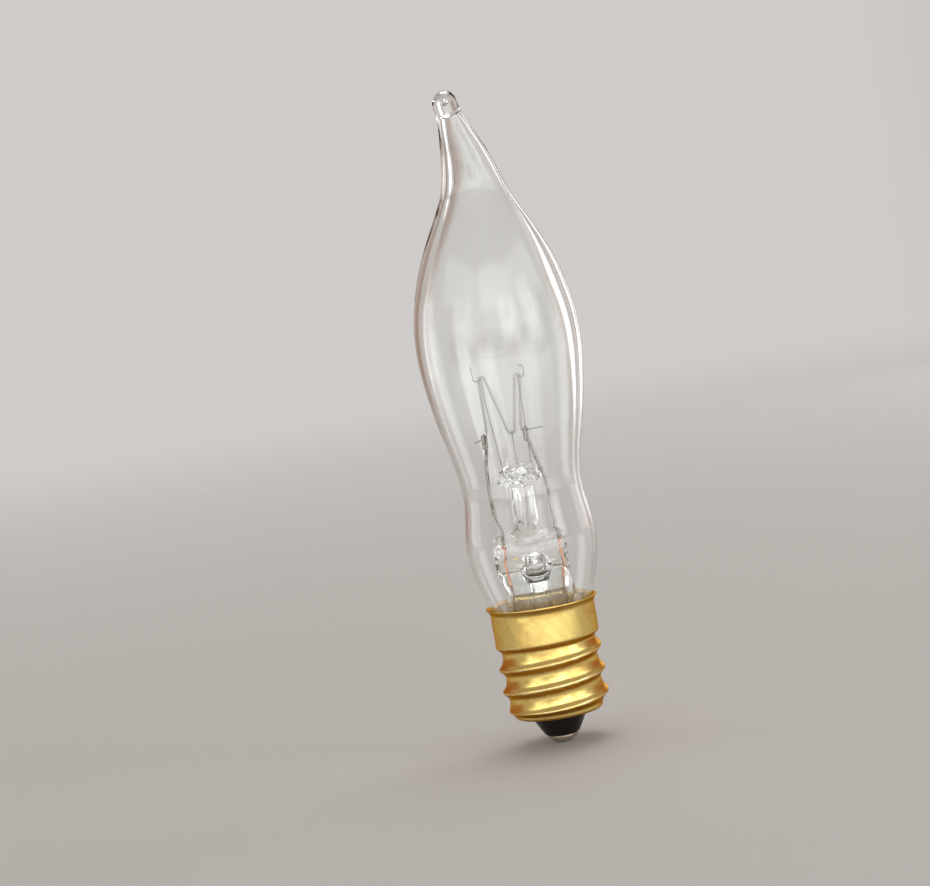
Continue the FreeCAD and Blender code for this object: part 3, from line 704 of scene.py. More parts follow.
def press_section(z, inner=False):
    """Half width, half depth and squareness of the stem's section at a height."""
    if inner:
        width = [(9.3, 3.55), (9.8, 3.40), (10.8, 3.29), (11.7, 3.25), (17.3, 3.25), (18.1, 3.28),
                 (19.0, 3.25), (19.6, 2.95), (20.0, 2.3)]
        depth = [(9.3, 3.55), (9.8, 3.40), (10.8, 3.29), (11.7, 3.25), (17.2, 3.25), (18.1, 2.40),
                 (18.75, 1.35), (19.4, 0.80), (20.0, 0.45)]
        power = [(9.3, 2.0), (17.3, 2.0), (18.1, 2.1), (18.75, 2.3), (20.0, 2.3)]
    else:
        width = [(9.3, 4.40), (9.8, 4.36), (10.6, 4.00), (12.0, 3.70), (17.2, 3.70), (18.3, 3.86),
                 (19.3, 4.00), (22.5, 3.97), (23.2, 3.85), (23.6, 3.55), (24.2, 2.8)]
        depth = [(9.3, 4.40), (9.8, 4.36), (10.6, 4.00), (12.0, 3.70), (17.1, 3.70), (18.3, 2.85),
                 (19.3, 1.78), (20.6, 1.50), (22.5, 1.50), (23.2, 1.38), (23.6, 1.10), (24.2, 0.6)]
        power = [(9.3, 2.0), (17.2, 2.0), (18.3, 2.2), (19.3, 2.6), (20.6, 3.0), (22.5, 3.0),
                 (24.2, 2.4)]
    return tuple(np.interp(z, *np.array(table).T) for table in (width, depth, power))


def crinkle(x, y, z, wavelength, seed):
    """Sum of plane waves in many directions, about -1 to 1, for flow marks in melted glass."""
    rng = np.random.default_rng(seed)
    total = 0.0
    for _ in range(7):
        way = rng.normal(size=3)
        way *= 2 * math.pi / (wavelength * rng.uniform(0.7, 1.5) * np.linalg.norm(way))
        total = total + np.sin(way[0] * x + way[1] * y + way[2] * z + rng.uniform(0, 2 * math.pi))
    return total / 3.5


def squared(x, y, z, inner=False):
    """Field of the stem's rounded oblong section, without ends."""
    w, d, p = press_section(z, inner)
    return (((np.abs(x) / w) ** p + (np.abs(y) / d) ** p) ** (1 / p) - 1) * np.minimum(w, d)


def mound(x, z, x0, z0, sx, sz, power=2):
    """Share of a bump or hollow on the face of the press: 1 at its middle."""
    return np.exp(-((x - x0) / sx) ** power - ((z - z0) / sz) ** 2)


def stem_field(x, y, z):
    """Flare tube, press, exhaust tube, arbor rod and button, melted together."""
    round_x, r = x, np.hypot(x, y)
    # the press and the rod were melted on a little to one side of the flare
    x = x + np.interp(z, [17.5, 19.2, 23.6, 24.6, 28.6, 31.0], [0.0, 0.30, 0.30, 0.17, 0.14, 0.10])
    rod_r = np.hypot(x, y)
    body = squared(x, y, z)
    body = np.maximum(body, z - (PRESS_HIGH + 0.05 - 0.02 * x ** 2))
    body = np.maximum(body, SEAL_LOW + 0.02 - z)
    # ridge between the marks of the pressing jaws, and the marks themselves
    body = body - 0.50 * mound(x, z, -0.4, 20.65, 2.2, 0.54, 4) * (y > 0.4)
    for x0, z0, sx, sz, sink in ((-2.1, 21.9, 1.1, 1.2, 0.20), (2.2, 21.7, 1.0, 1.1, 0.18),
                                 (0.2, 22.6, 1.6, 0.5, 0.12)):
        body = body + sink * mound(x, z, x0, z0, sx, sz) * (np.abs(y) > 0.4)
    # folds that the melted glass laid beside the seal wires, and flow marks all over the press but
    # not in front of the wires or on the ridge
    in_press = np.clip((z - 18.6) / 1.2, 0, 1) * np.clip((23.9 - z) / 0.4, 0, 1)
    for x0, z0, deep, phase in ((-3.30, 21.7, 0.020, 0.6), (3.50, 21.8, 0.030, 2.4)):
        reach = np.hypot(x - x0, 0.75 * (z - z0))
        wave = np.sin(2 * math.pi * reach / 0.46 + phase)
        body = body + deep * in_press * wave * np.exp(-(reach / 1.25) ** 2)
    side = np.clip((x - 1.2) / 1.2, 0, 1)
    calm = 1 - 0.85 * np.exp(-((np.abs(round_x) - 2.93) / 0.5) ** 2)
    calm = calm * (1 - 0.95 * np.exp(-((z - 20.75) / 0.75) ** 4 - ((x + 0.4) / 2.2) ** 4))
    body = body + in_press * calm * (0.012 + 0.014 * side) * crinkle(x, y, z, 0.62, 5)
    body = carve(body, np.maximum(squared(x, y, z, inner=True), z - 19.25), 0.12)
    tip = np.clip((z - TUBE_LOW) / 1.4, 0.0, 1.0)
    tube = r - TUBE_RADIUS * np.sqrt(np.clip(1 - (1 - tip) ** 2, 0.0, 1.0))
    tube = np.maximum(np.maximum(tube, TUBE_LOW - z), z - HOLE_HEIGHT)
    lobe = np.sqrt(r ** 2 + (z - HOLE_HEIGHT) ** 2) - LOBE_RADIUS
    body = melt(body, melt(tube, lobe, 0.15), 0.10)
    turn = np.arctan2(y, x)
    drawn = 0.060 * np.sin(5 * turn + 0.25 * z) + 0.040 * np.sin(9 * turn + 1.3 + 0.15 * z)
    arbor = np.maximum(rod_r - ROD_RADIUS + drawn, np.maximum(22.8 - z, z - 29.4))
    body = melt(body, arbor, 0.50)
    lean = z - 0.05 * x + 0.03 * y
    up = lean > BUTTON_MIDDLE
    tall = np.where(up, BUTTON_HIGH - BUTTON_MIDDLE, BUTTON_MIDDLE - BUTTON_LOW)
    power = np.where(up, 2.25, 2.6)
    button = (rod_r / BUTTON_RADIUS) ** power + (np.abs(lean - BUTTON_MIDDLE) / tall) ** power
    button = button ** (1 / power) - 1
    wrinkle = 0.055 * crinkle(x, y, z, 0.95, 11)
    wrinkle = wrinkle + 0.03 * np.sin(6 * turn + 2 * r) * np.clip(r - 0.5, 0, 1)
    body = melt(body, button * 0.9 + wrinkle * np.clip((z - 28.4) / 0.5, 0, 1), 0.22)
    for x0, y0, wide, low, high in GAS_LINES:
        along = (z - (low + high) / 2) / ((high - low) / 2)
        body = carve(body, np.hypot(x - x0, y - y0) - wide * (1 - along ** 4), 0.04)
    for x0, y0, z0, size in BUBBLES:
        body = carve(body, np.sqrt((x - x0) ** 2 + (y - y0) ** 2 + (z - z0) ** 2) - size, 0.03)
    bore = np.maximum(r - BORE_RADIUS, np.maximum(8.5 - z, z - 18.6))
    body = carve(body, bore, 0.10)
    # the hole that was blown where the exhaust tube met the press, and the slit beside it
    slit = (np.hypot((y - 0.1) / 0.85, (z - 19.90) / 0.36) - 1) * 0.36
    slit = slit + 0.36 * (np.abs(round_x) / 2.55) ** 4
    blown = np.sqrt(round_x ** 2 + (y - 0.2) ** 2 + (z - HOLE_HEIGHT) ** 2) - HOLE_RADIUS
    return carve(body, np.minimum(slit, blown), 0.06)


# Gas lines in the rod: place in the stem's frame, radius, lower and upper end
GAS_LINES = [
    (-0.42, 0.25, 0.20, 24.3, 28.4), (0.10, 0.45, 0.12, 24.8, 28.7), (0.50, -0.15, 0.16, 24.6, 28.6)]

# Gas bubbles in the stem's glass: place in the stem's frame and radius
BUBBLES = [
    (-1.45, 0.90, 29.55, 0.22), (-0.75, 1.20, 29.90, 0.17), (-1.05, 0.30, 30.35, 0.24),
    (0.85, 1.05, 29.70, 0.20), (1.45, 0.60, 29.35, 0.25), (0.30, 1.30, 29.30, 0.15),
    (1.10, 0.20, 30.30, 0.19), (-1.75, 0.20, 29.15, 0.16), (0.05, 0.90, 30.45, 0.14),
    (-2.55, 0.50, 22.30, 0.14), (2.35, 0.55, 22.60, 0.16), (2.70, 0.40, 21.20, 0.12),
    (1.55, 0.80, 22.90, 0.13), (-1.30, 0.70, 22.80, 0.11)]


def thread_radius(angle, height):
    """Outer radius of the rolled cap in the threaded part: a sharp ridge, and a valley that
    slopes out to the ridge below it."""
    def ease(t):
        t = np.clip(t, 0, 1)
        return t * t * (3 - 2 * t)
    top = ease((height - (BAND_LOW - 0.75)) / 0.75)
    foot = ease((THREAD_LOW + 0.75 - height) / 0.75)
    base = ROOT_RADIUS + (BAND_RADIUS - ROOT_RADIUS) * top
    base = base + (FOOT_RADIUS - base) * foot
    peak = CREST_RADIUS + (BAND_RADIUS - CREST_RADIUS) * top
    crest = THREAD_START + THREAD_PITCH * (angle - THREAD_START_TURN) / (2 * math.pi)
    turn = 2 * math.pi * (height - crest) / THREAD_PITCH
    ridge = ((1 + np.cos(turn)) / 2) ** 4
    slope = (1 + np.cos(turn - RAMP_TURN)) / (1 + math.cos(RAMP_TURN))
    wave = (1 - RAMP_SHARE) * ridge + RAMP_SHARE * slope
    return base + np.maximum(peak - base, 0) * (1 - foot) * wave


def cap_mesh(sheet, segments=200):
    """Rolled sheet from the turned-in foot over the thread to the flared lip, and back down
    inside it."""
    angle = circle(segments)
    phases = np.random.default_rng(7).uniform(0, 2 * math.pi, 6)

    def ring(radius, height, inset=0.0):
        dent = sum(0.006 / (k + 1) * np.sin((k + 2) * angle + phases[k] + height * 0.9)
                   for k in range(6))
        # shallow ripples that the marking roll leaves round the band
        in_band = np.clip((height - BAND_LOW - 0.2) / 0.5, 0, 1) \
            * np.clip((BAND_HIGH - 0.1 - height) / 0.5, 0, 1)
        dent = dent + in_band * 0.012 * np.sin(23 * angle + 1.6 * np.sin(3 * angle) + 2.0 * height)
        rad = radius - inset + dent * (0.3 if height < CAP_LOW + 0.05 else 1.0)
        return ring_at(angle, rad, height)

    def side(inset):
        rows = [ring(thread_radius(angle, z), z, inset) for z in np.linspace(THREAD_LOW, BAND_LOW, 112)]
        rows += [ring(BAND_RADIUS, z, inset) for z in np.linspace(BAND_LOW, BAND_HIGH, 16)[1:]]
        for k in np.linspace(0, 1, 10)[1:]:
            rows.append(ring(BAND_RADIUS + (LIP_RADIUS - BAND_RADIUS) * k ** 1.8,
                             BAND_HIGH + (RIM_HEIGHT - BAND_HIGH) * k, inset))
        return rows

    def foot(inset):
        turn = THREAD_LOW - CAP_LOW - inset
        rows = [ring(r, CAP_LOW + inset) for r in (3.25, 3.7, 4.1)]
        for k in np.linspace(0, math.pi / 2, 7)[:-1]:
            rows.append(ring(4.53 + turn * math.sin(k), THREAD_LOW - turn * math.cos(k)))
        return rows

    outer, inner = foot(0.0) + side(0.0), foot(sheet) + side(sheet)
    edge = [ring(LIP_RADIUS - sheet * 0.5 + sheet * 0.5 * math.cos(k),
                 RIM_HEIGHT + sheet * 0.45 * math.sin(k)) for k in np.linspace(0, math.pi, 7)[1:-1]]
    return closed(outer + edge + inner[::-1] + [outer[0]])


# Courses of the wires in the stem's frame. A clamp has its place, its top and the turn of its fold,
# a hook its place, its height and the side on which the filament passes it: 1 over, -1 under
LEADS = {
    "left": [(-2.97, 0, 22.40), (-2.97, 0, 24.20), (-3.55, 0, 26.20), (-3.66, 0, 28.60),
             (-3.50, 0, 31.50), (-3.05, 0, 33.90)],
    "right": [(2.90, 0, 22.40), (2.90, 0, 24.20), (2.78, 0, 26.50), (2.66, 0, 29.35),
              (2.00, 0, 31.60), (1.50, 0, 33.82)]}
CLAMPS = {"left": (-3.05, 35.03, 130.0), "right": (1.50, 35.27, 120.0)}
HOOKS = [(-2.45, 40.95, 1), (-0.10, 34.90, -1), (1.54, 40.70, 1)]
SUPPORTS = {
    "left": [(-1.75, 0.10, 30.10), (-1.85, -0.15, 31.60), (-2.45, -0.45, 38.35),
             (-2.45, -0.45, 40.95), (-2.45, 0.45, 40.95), (-3.30, 0.45, 40.83), (-3.42, 0.45, 42.60)],
    "middle": [(-0.10, -0.30, 30.20), (-0.10, -0.45, 31.90), (-0.10, -0.45, 34.90),
               (-0.10, 0.45, 34.90), (-0.10, 0.45, 34.30)],
    "right": [(1.45, -0.35, 30.10), (1.45, -0.60, 31.60), (1.54, -0.45, 38.10),
              (1.54, -0.45, 40.70), (1.54, 0.45, 40.70), (2.20, 0.45, 40.60), (2.26, 0.45, 41.70),
              (1.80, 0.45, 41.90)]}
OUTER_LEADS = {
    "middle": [(-2.97, 0, 18.20), (-2.97, 0, 10.90), (-2.57, 0, 8.40), (-0.75, 0, 6.40),
               (0, 0, 5.30), (0, 0, 0.45)],
    "edge": [(2.90, 0, 18.20), (2.90, 0, 9.50), (3.35, 0, 8.50), (4.73, 0, 8.50),
             (4.73, 0, 11.97), (5.34, 0, 13.00), (5.34, 0, 14.00)]}


def clamp_points(side):
    """End of a lead, folded over the filament's leg."""
    x, top, turn = CLAMPS[side]
    width = 2 * LEAD_RADIUS + CLAMP_GAP
    dx, dy = width * math.cos(math.radians(turn)), width * math.sin(math.radians(turn))
    high = top - LEAD_RADIUS
    return [(x, 0, high), (x + dx, dy, high), (x + dx, dy, high - 1.45)]


def leg_points(side, reach, rise):
    """Free end and inner end of a filament leg, level through its clamp's slot."""
    x, top, turn = CLAMPS[side]
    turn, half = math.radians(turn), LEAD_RADIUS + CLAMP_GAP / 2
    slot_x, slot_y = x + half * math.cos(turn), half * math.sin(turn)
    out_x, out_y = abs(math.sin(turn)), -math.cos(turn)
    sign = 1 if side == "right" else -1
    z = top - 2 * LEAD_RADIUS - 0.14
    return [(slot_x + sign * reach * out_x, slot_y + sign * reach * out_y, z + rise),
            (slot_x - sign * 0.48 * out_x, slot_y - sign * 0.48 * out_y, z - rise * 0.48 / reach)]


def coil_corners():
    """Corners of the filament's course: up, over a hook, down under the middle one, and so on."""
    left, right = leg_points("left", 1.50, -0.45), leg_points("right", 2.20, 0.15)
    start = (left[1][0], left[1][1] - 0.04, 35.18)
    end = (right[1][0] + 0.04, right[1][1], 35.32)
    corners = [start]
    for x, height, side in HOOKS:
        corners += [(x - 0.31, 0, height + side * 0.27), (x + 0.31, 0, height + side * 0.27)]
    return left, corners + [end], right


def filament_mesh(coil_radius, strand, pitch):
    """Fine wire wound into a coil along the filament's course, with its bare legs."""
    left, corners, right = coil_corners()
    path, at = even(bent_path(corners, 0.27, 0.03), 0.02)
    _, across, third = carried_frames(path)
    s = np.linspace(0, at[-1], int(at[-1] / pitch * 11))
    centre = np.column_stack([np.interp(s, at, path[:, k]) for k in range(3)])
    a = np.column_stack([np.interp(s, at, across[:, k]) for k in range(3)])
    b = np.column_stack([np.interp(s, at, third[:, k]) for k in range(3)])
    spin = 2 * math.pi * s / pitch
    mean = coil_radius - strand
    helix = centre + mean * (np.cos(spin)[:, None] * a + np.sin(spin)[:, None] * b)
    parts = [closed(tube_rings(stem_points(helix), strand, 6))]
    for leg, tip in ((left, corners[0]), (right, corners[-1])):
        parts.append(wire(leg + [(tip[0], tip[1], tip[2] + 0.30)], LEG_RADIUS, 0.12, 10, 0.05))
    return joined(parts)


def cement_mesh(segments=144):
    """Cement between the glass neck and the cap, with an uneven upper face and one tongue
    that has crept up the glass."""
    def wobble(angle, r, z):
        rough = 0.05 * np.sin(5 * angle + 1.0) + 0.04 * np.sin(11 * angle + 2.3) \
            + 0.03 * np.sin(23 * angle)
        away = np.angle(np.exp(1j * (angle - TONGUE_TURN)))
        tongue = np.exp(-(away / 0.105) ** 4) * np.clip((z - 15.2) / 0.3, 0, 1)
        return 0.30 * tongue, rough * np.clip((z - 14.9) / 0.2, 0, 1) + 0.95 * tongue
    return turned_loop(finely([
        (4.47, 11.97), (5.46, 11.97), (5.46, 14.90), (5.50, 15.12), (5.62, 15.40), (5.68, 15.52),
        (5.64, 15.50), (5.42, 14.9), (5.00, 13.9), (4.62, 12.6), (4.47, 11.97)], 0.25), segments, wobble)


def insulator_mesh():
    """Black glass cone between the cap and the eyelet, with the disc that seats in the cap."""
    def wobble(angle, r, z):
        shown = 0.018 * (1.1 < z < 3.2) * (r > 1.2)
        return shown * (np.sin(3 * angle + 0.8) + 0.6 * np.sin(7 * angle + z * 2)), np.zeros_like(angle)
    return turned_loop(finely(rounded([
        (0.87, 0.90, 0), (1.88, 0.90, 0.18), (3.20, 3.25, 0.0), (3.20, 3.50, 0), (4.50, 3.50, 0.1),
        (4.50, 4.79, 0.15), (0.40, 4.79, 0.1), (0.40, 2.52, 0), (0.87, 2.52, 0), (0.87, 0.90, 0)]), 0.3),
        96, wobble)


def eyelet_mesh():
    """Flanged eyelet that the solder closes."""
    return turned_loop(rounded([
        (0.63, 0.51, 0), (1.65, 0.51, 0.12), (1.65, 0.90, 0.16), (0.85, 0.90, 0.0), (0.85, 2.49, 0.05),
        (0.63, 2.49, 0.05), (0.63, 0.51, 0)]), 80)


def solder_mesh():
    """Soldered dome, not quite round, over the eyelet, with its plug in the bore."""
    def wobble(angle, r, z):
        low = 1.0 if z < 0.52 else 0.0
        out = -0.03 + 0.025 * np.sin(2 * angle + 0.7) + 0.015 * np.sin(3 * angle + 2)
        return low * r * out, low * 0.02 * (r / 1.5) * (1 + np.sin(2 * angle + 2.0))
    profile = [(0.02, 1.5), (0.60, 1.5), (0.60, 0.53)]
    profile += [(1.50 * math.cos(k), 0.50 * (1 - math.sin(k)))
                for k in np.linspace(0, math.pi / 2 - 0.01, 16)]
    return closed(turned(profile, 72, wobble))


# What a user may change
def length_setting(name, description, default, low, high):
    return bpy.props.FloatProperty(
        name=name, description=description, default=default, min=low, max=high, subtype="DISTANCE",
        unit="LENGTH", precision=6)


def colour_setting(name, description, default):
    return bpy.props.FloatVectorProperty(
        name=name, description=description, default=default, size=3, min=0, max=1, subtype="COLOR")


class LampSizes(bpy.types.PropertyGroup):
    wall: length_setting(
        "Neck wall", "Wall of the blown envelope in its neck", 0.00050, 0.0003, 0.0010)
    crown_wall: length_setting(
        "Crown wall", "Wall of the blown envelope in its shoulder", 0.00090, 0.0003, 0.0012)
    sheet: length_setting(
        "Cap sheet", "Thickness of the rolled brass sheet", 0.00025, 0.0001, 0.0005)
    coil_pitch: length_setting(
        "Coil pitch", "Distance between the turns of the filament", 0.00010, 0.00006, 0.0003)
    strand: length_setting(
        "Filament wire", "Radius of the wire that the filament is wound from", 0.00002, 0.00001, 0.00006)
    coil_radius: length_setting(
        "Coil radius", "Outer radius of the filament's coil", 0.00018, 0.0001, 0.0003)
    stem_cell: length_setting(
        "Stem grain", "Size of the mesh faces on the pressed glass stem", 0.00012, 0.00008, 0.0004)


class LampLook(bpy.types.PropertyGroup):
    glass_colour: colour_setting("Envelope glass", "Tint of the blown glass", (0.99, 0.995, 0.99))
    stem_colour: colour_setting("Stem glass", "Tint of the pressed stem", (0.98, 0.99, 0.98))
    brass_colour: colour_setting("Cap brass", "Colour of the bright brass", (0.94, 0.72, 0.24))
    # colour of the brass's film; a darker copy of it is the painted shade under the crests and the lip
    film_and_shade_colour: colour_setting(
        "Brass film", "Colour where the brass has dulled", (0.58, 0.24, 0.035))
    insulator_colour: colour_setting(
        "Insulator", "Colour of the black insulator", (0.008, 0.006, 0.006))
    cement_colour: colour_setting("Cement", "Colour of the basing cement", (0.48, 0.32, 0.16))
    floor_colour: colour_setting("Floor", "Colour of the floor and of the surround", (0.62, 0.60, 0.58))


class LAMP_OT_envelope(bpy.types.Operator):
    """Blow the bent-tip glass envelope"""
    bl_idname = "lamp.envelope"
    bl_label = "Glass envelope"

    def execute(self, context):
        glass = clear_glass("Blown clear glass", colour_of("glass"), 1.50, 160.0, 0.25)
        piece("blown_envelope", envelope_mesh(size_of("wall"), size_of("crown_wall")), glass,
              ["glass_envelope"])
        return {"FINISHED"}


class LAMP_OT_stem(bpy.types.Operator):
    """Press the glass stem with its flare, exhaust tube, arbor and button"""
    bl_idname = "lamp.stem"
    bl_label = "Glass stem"

    def execute(self, context):
        low, high = (-4.7, -4.7, 6.9), (4.7, 4.7, 31.8)
        points, faces = field_mesh(stem_field, low, high, size_of("stem_cell"))
        points = stem_points(points)
        glass = clear_glass("Pressed stem glass", colour_of("stem"), 1.55, 420.0, 0.35)
        piece("pressed_stem", (points, facing_out(points, faces)), glass, ["glass_stem"])
        return {"FINISHED"}


class LAMP_OT_leads(bpy.types.Operator):
    """Bend the inner leads with their clamps, the seal wires and the outer leads"""
    bl_idname = "lamp.leads"
    bl_label = "Leads"

    def execute(self, context):
        for side, course in LEADS.items():
            piece("lead_" + side, wire(course + clamp_points(side), LEAD_RADIUS, 3.0, 16, 0.10),
                  metal("Drawn nickel wire"), ["lead_wire_" + side])
            x = course[0][0]
            sealed = [(x, 0, 18.20), (x, 0, 20.0), (x, 0, 22.40)]
            parts = [wire(sealed, SEAL_RADIUS, 1.0, 14, 0.10, 0.03, 4)]
            if side == "left":
                # the bead of the butt weld between the seal wire and its lead
                bead = [(0.24 * math.sin(k), -0.18 * math.cos(k))
                        for k in np.linspace(0, math.pi, 12)[1:-1]]
                points, faces = closed(turned(bead, 20))
                parts.append((points + stem_points([(x, 0, 22.30)])[0], faces))
            piece("seal_wire_" + side, joined(parts), metal("Sealed copper wire"),
                  ["dumet_seal_" + side])
        for name, bend, node in (("middle", 1.2, "outer_lead_centre"),
                                 ("edge", 0.5, "outer_lead_side")):
            piece("outer_lead_" + name, wire(OUTER_LEADS[name], SEAL_RADIUS, bend, 12, 0.12),
                  metal("Outer lead wire"), [node])
        return {"FINISHED"}


class LAMP_OT_supports(bpy.types.Operator):
    """Bend the three hooked support wires"""
    bl_idname = "lamp.supports"
    bl_label = "Support wires"

    def execute(self, context):
        for side, course in SUPPORTS.items():
            piece("support_" + side, wire(course, SUPPORT_RADIUS, 0.25, 12, 0.06),
                  metal("Thin support wire"), ["support_wire_" + side])
        return {"FINISHED"}


class LAMP_OT_filament(bpy.types.Operator):
    """Wind the coiled filament over its hooks"""
    bl_idname = "lamp.filament"
    bl_label = "Filament"

    def execute(self, context):
        coil = filament_mesh(size_of("coil_radius"), size_of("strand"), size_of("coil_pitch"))
        piece("coiled_filament", coil, metal("Coiled tungsten"), ["filament"])
        return {"FINISHED"}


class LAMP_OT_cap(bpy.types.Operator):
    """Roll the brass screw cap"""
    bl_idname = "lamp.cap"
    bl_label = "Screw cap"

    def execute(self, context):
        piece("rolled_cap", cap_mesh(size_of("sheet")), cap_brass(), ["screw_shell"])
        piece("cement_ring", cement_mesh(), cement(), ["basing_cement"])
        return {"FINISHED"}


class LAMP_OT_contact(bpy.types.Operator):
    """Make the black insulator, the eyelet and its solder"""
    bl_idname = "lamp.contact"
    bl_label = "Contact end"

    def execute(self, context):
        piece("insulator_cone", insulator_mesh(), black_insulator(),
              ["base_insulator"], 35)
        piece("eyelet", eyelet_mesh(), metal("Tinned eyelet"), ["contact_eyelet"], 40)
        piece("solder_dome", solder_mesh(), metal("Soft solder"), ["contact_solder"], 50)
        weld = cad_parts["lead_weld"].data.materials
        weld.clear()
        weld.append(metal("Soft solder"))
        return {"FINISHED"}


class LAMP_OT_stage(bpy.types.Operator):
    """Set the floor, the surround, the lights and the camera"""
    bl_idname = "lamp.stage"
    bl_label = "Stage"

    def execute(self, context):
        scene = context.scene
        scene.view_settings.view_transform = "Standard"
        scene.cycles.max_bounces = 32
        scene.cycles.transmission_bounces = 28
        scene.cycles.transparent_max_bounces = 16
        make_floor()
        make_world(scene)
        make_lights()
        make_camera(scene)
        return {"FINISHED"}


def make_floor():
    """Round pale floor that fades into the surround."""
    radius, level, rows, columns = 900.0, -0.02, 24, 96
    rings = [ring_at(circle(columns), r, level) for r in radius * (np.arange(1, rows + 1) / rows) ** 2]
    points = np.vstack(rings + [[[0, 0, level]]])
    faces = grid_faces(rows, columns, flip=True)
    faces += [(len(points) - 1, c, (c + 1) % columns) for c in range(columns)]
    floor, mesh = mesh_object("floor", points * MM, faces)
    mesh.shade_smooth()
    material, tree, shader = new_material(
        "Pale floor", Base_Color=colour_of("floor"), Roughness=0.8, Specular_IOR_Level=0.2)
    away = add(tree, "ShaderNodeVectorMath", operation="LENGTH", Vector=place_of(tree))
    feed(tree, shader.inputs["Alpha"], spread(tree, away.outputs["Value"], 0.05, 0.60, 1.0, 0.0))
    mesh.materials.append(material)


def make_world(scene):
    """Pale surround with soft upright folds of warmer shade, and a darker zenith."""
    world = bpy.data.worlds.new("Surround")
    world.use_nodes = True
    tree = world.node_tree
    shade = tree.nodes["Background"].inputs
    x, y, z = parts_of(tree, place_of(tree, "Generated"))
    turn = maths(tree, "SUBTRACT", maths(tree, "ARCTAN2", y, x), math.radians(30))
    fold = spread(tree, maths(tree, "COSINE", maths(tree, "MULTIPLY", turn, 8.0)), -1.0, 0.3)
    flank = maths(tree, "MULTIPLY", maths(tree, "COSINE", maths(tree, "MULTIPLY", turn, 2.0)), 0.13)
    side = maths(tree, "ADD", maths(tree, "ADD", maths(tree, "MULTIPLY", fold, 0.42), flank), 0.45)
    excess = maths(tree, "SUBTRACT", side, 0.55)
    drop = maths(tree, "MULTIPLY", excess, spread(tree, z, 0.25, 0.85))
    feed(tree, shade["Strength"], maths(tree, "SUBTRACT", side, drop))
    pale = colour_of("floor")
    warm = (1.06 * pale[0], 0.86 * pale[1], 0.76 * pale[2])
    feed(tree, shade["Color"], blend(tree, fold, warm, pale))
    scene.world = world


CAMERA_TURN = math.radians(-60)
CAMERA_RIGHT = np.array([math.cos(CAMERA_TURN), math.sin(CAMERA_TURN), 0.0])
CAMERA_BACK = np.array([math.sin(CAMERA_TURN), -math.cos(CAMERA_TURN), 0.0])
CAMERA_LIFT, CAMERA_ROLL, CAMERA_DISTANCE = math.radians(4.9), math.radians(9.5), 0.300
LAMP_MIDDLE = 0.038
AIM_HEIGHT, AIM_LEFT = 0.03428, 0.00538         # of the point in the picture's middle
FOCAL_PIXELS, PICTURE_WIDTH = 2745, 930
NEVER = 99.0    # more surfaces than any ray passes
WARM = (1.0, 0.42, 0.22)


def soft_card(name, place, aim, size, radiance, mottle=0.0, colour=(1.0, 1.0, 1.0), surfaces=NEVER):
    """Glowing card with soft edges that looks at a point, and is clear from behind. It isn't seen
    straight through the lamp, but where the glass mirrors it, or from a number of surfaces on. The
    envelope alone has four."""
    half = size[0] / 2, size[1] / 2
    corners = [(sx * half[0], sy * half[1], 0) for sx, sy in ((-1, -1), (1, -1), (1, 1), (-1, 1))]
    holder, mesh = mesh_object(name, corners, [(0, 1, 2, 3)])
    back = np.array(aim, float) - np.array(place, float)
    back /= np.linalg.norm(back)
    right = np.cross([0, 0, 1.0] if abs(back[2]) < 0.99 else CAMERA_BACK, back)
    right /= np.linalg.norm(right)
    holder.rotation_euler = Matrix((right, np.cross(back, right), back)).transposed().to_euler()
    holder.location = place
    holder.visible_camera = holder.visible_shadow = False
    material, tree, shader = new_material(
        "Glow of " + name, Base_Color=(0.0, 0.0, 0.0), Specular_IOR_Level=0.0, Roughness=1.0,
        Emission_Color=colour, Emission_Strength=radiance)
    position = place_of(tree)
    seen = maths(tree, "SUBTRACT", 1.0, add(tree, "ShaderNodeNewGeometry").outputs["Backfacing"])
    for off, reach in zip(parts_of(tree, position), half):
        edge = spread(tree, maths(tree, "ABSOLUTE", off), reach, reach / 2)
        seen = maths(tree, "MULTIPLY", seen, edge)
    if mottle:
        leaves = noise(tree, position, Scale=3.0 / min(size), Detail=3.0, Roughness=0.6)
        seen = maths(tree, "MULTIPLY", seen, spread(tree, leaves, 0.35, 0.60, 1.0 - mottle, 1.0))
    rays = add(tree, "ShaderNodeLightPath").outputs
    turned_back = maths(tree, "MAXIMUM", spread(tree, rays["Glossy Depth"], 0.0, 1.0),
                        spread(tree, rays["Transmission Depth"], surfaces - 1.0, surfaces))
    straight = maths(tree, "MULTIPLY", rays["Is Transmission Ray"],
                     maths(tree, "SUBTRACT", 1.0, turned_back))
    seen = maths(tree, "MULTIPLY", seen, maths(tree, "SUBTRACT", 1.0, straight))
    feed(tree, shader.inputs["Alpha"], seen)
    mesh.materials.append(material)
    return holder


def around(side, front, up):
    """Place given to the right of the lamp, in front of it and above it, as seen in the photograph."""
    return tuple(CAMERA_RIGHT * side + CAMERA_BACK * front + np.array([0, 0, up]))


def panel(name, turn, lift, distance, size, radiance, **finish):
    """Soft card turned to the camera's right and lifted, in degrees, as seen from the lamp."""
    turn, lift = math.radians(turn), math.radians(lift)
    flat = distance * math.cos(lift)
    place = around(flat * math.sin(turn), flat * math.cos(turn), LAMP_MIDDLE + distance * math.sin(lift))
    return soft_card(name, place, (0, 0, LAMP_MIDDLE), size, radiance, **finish)


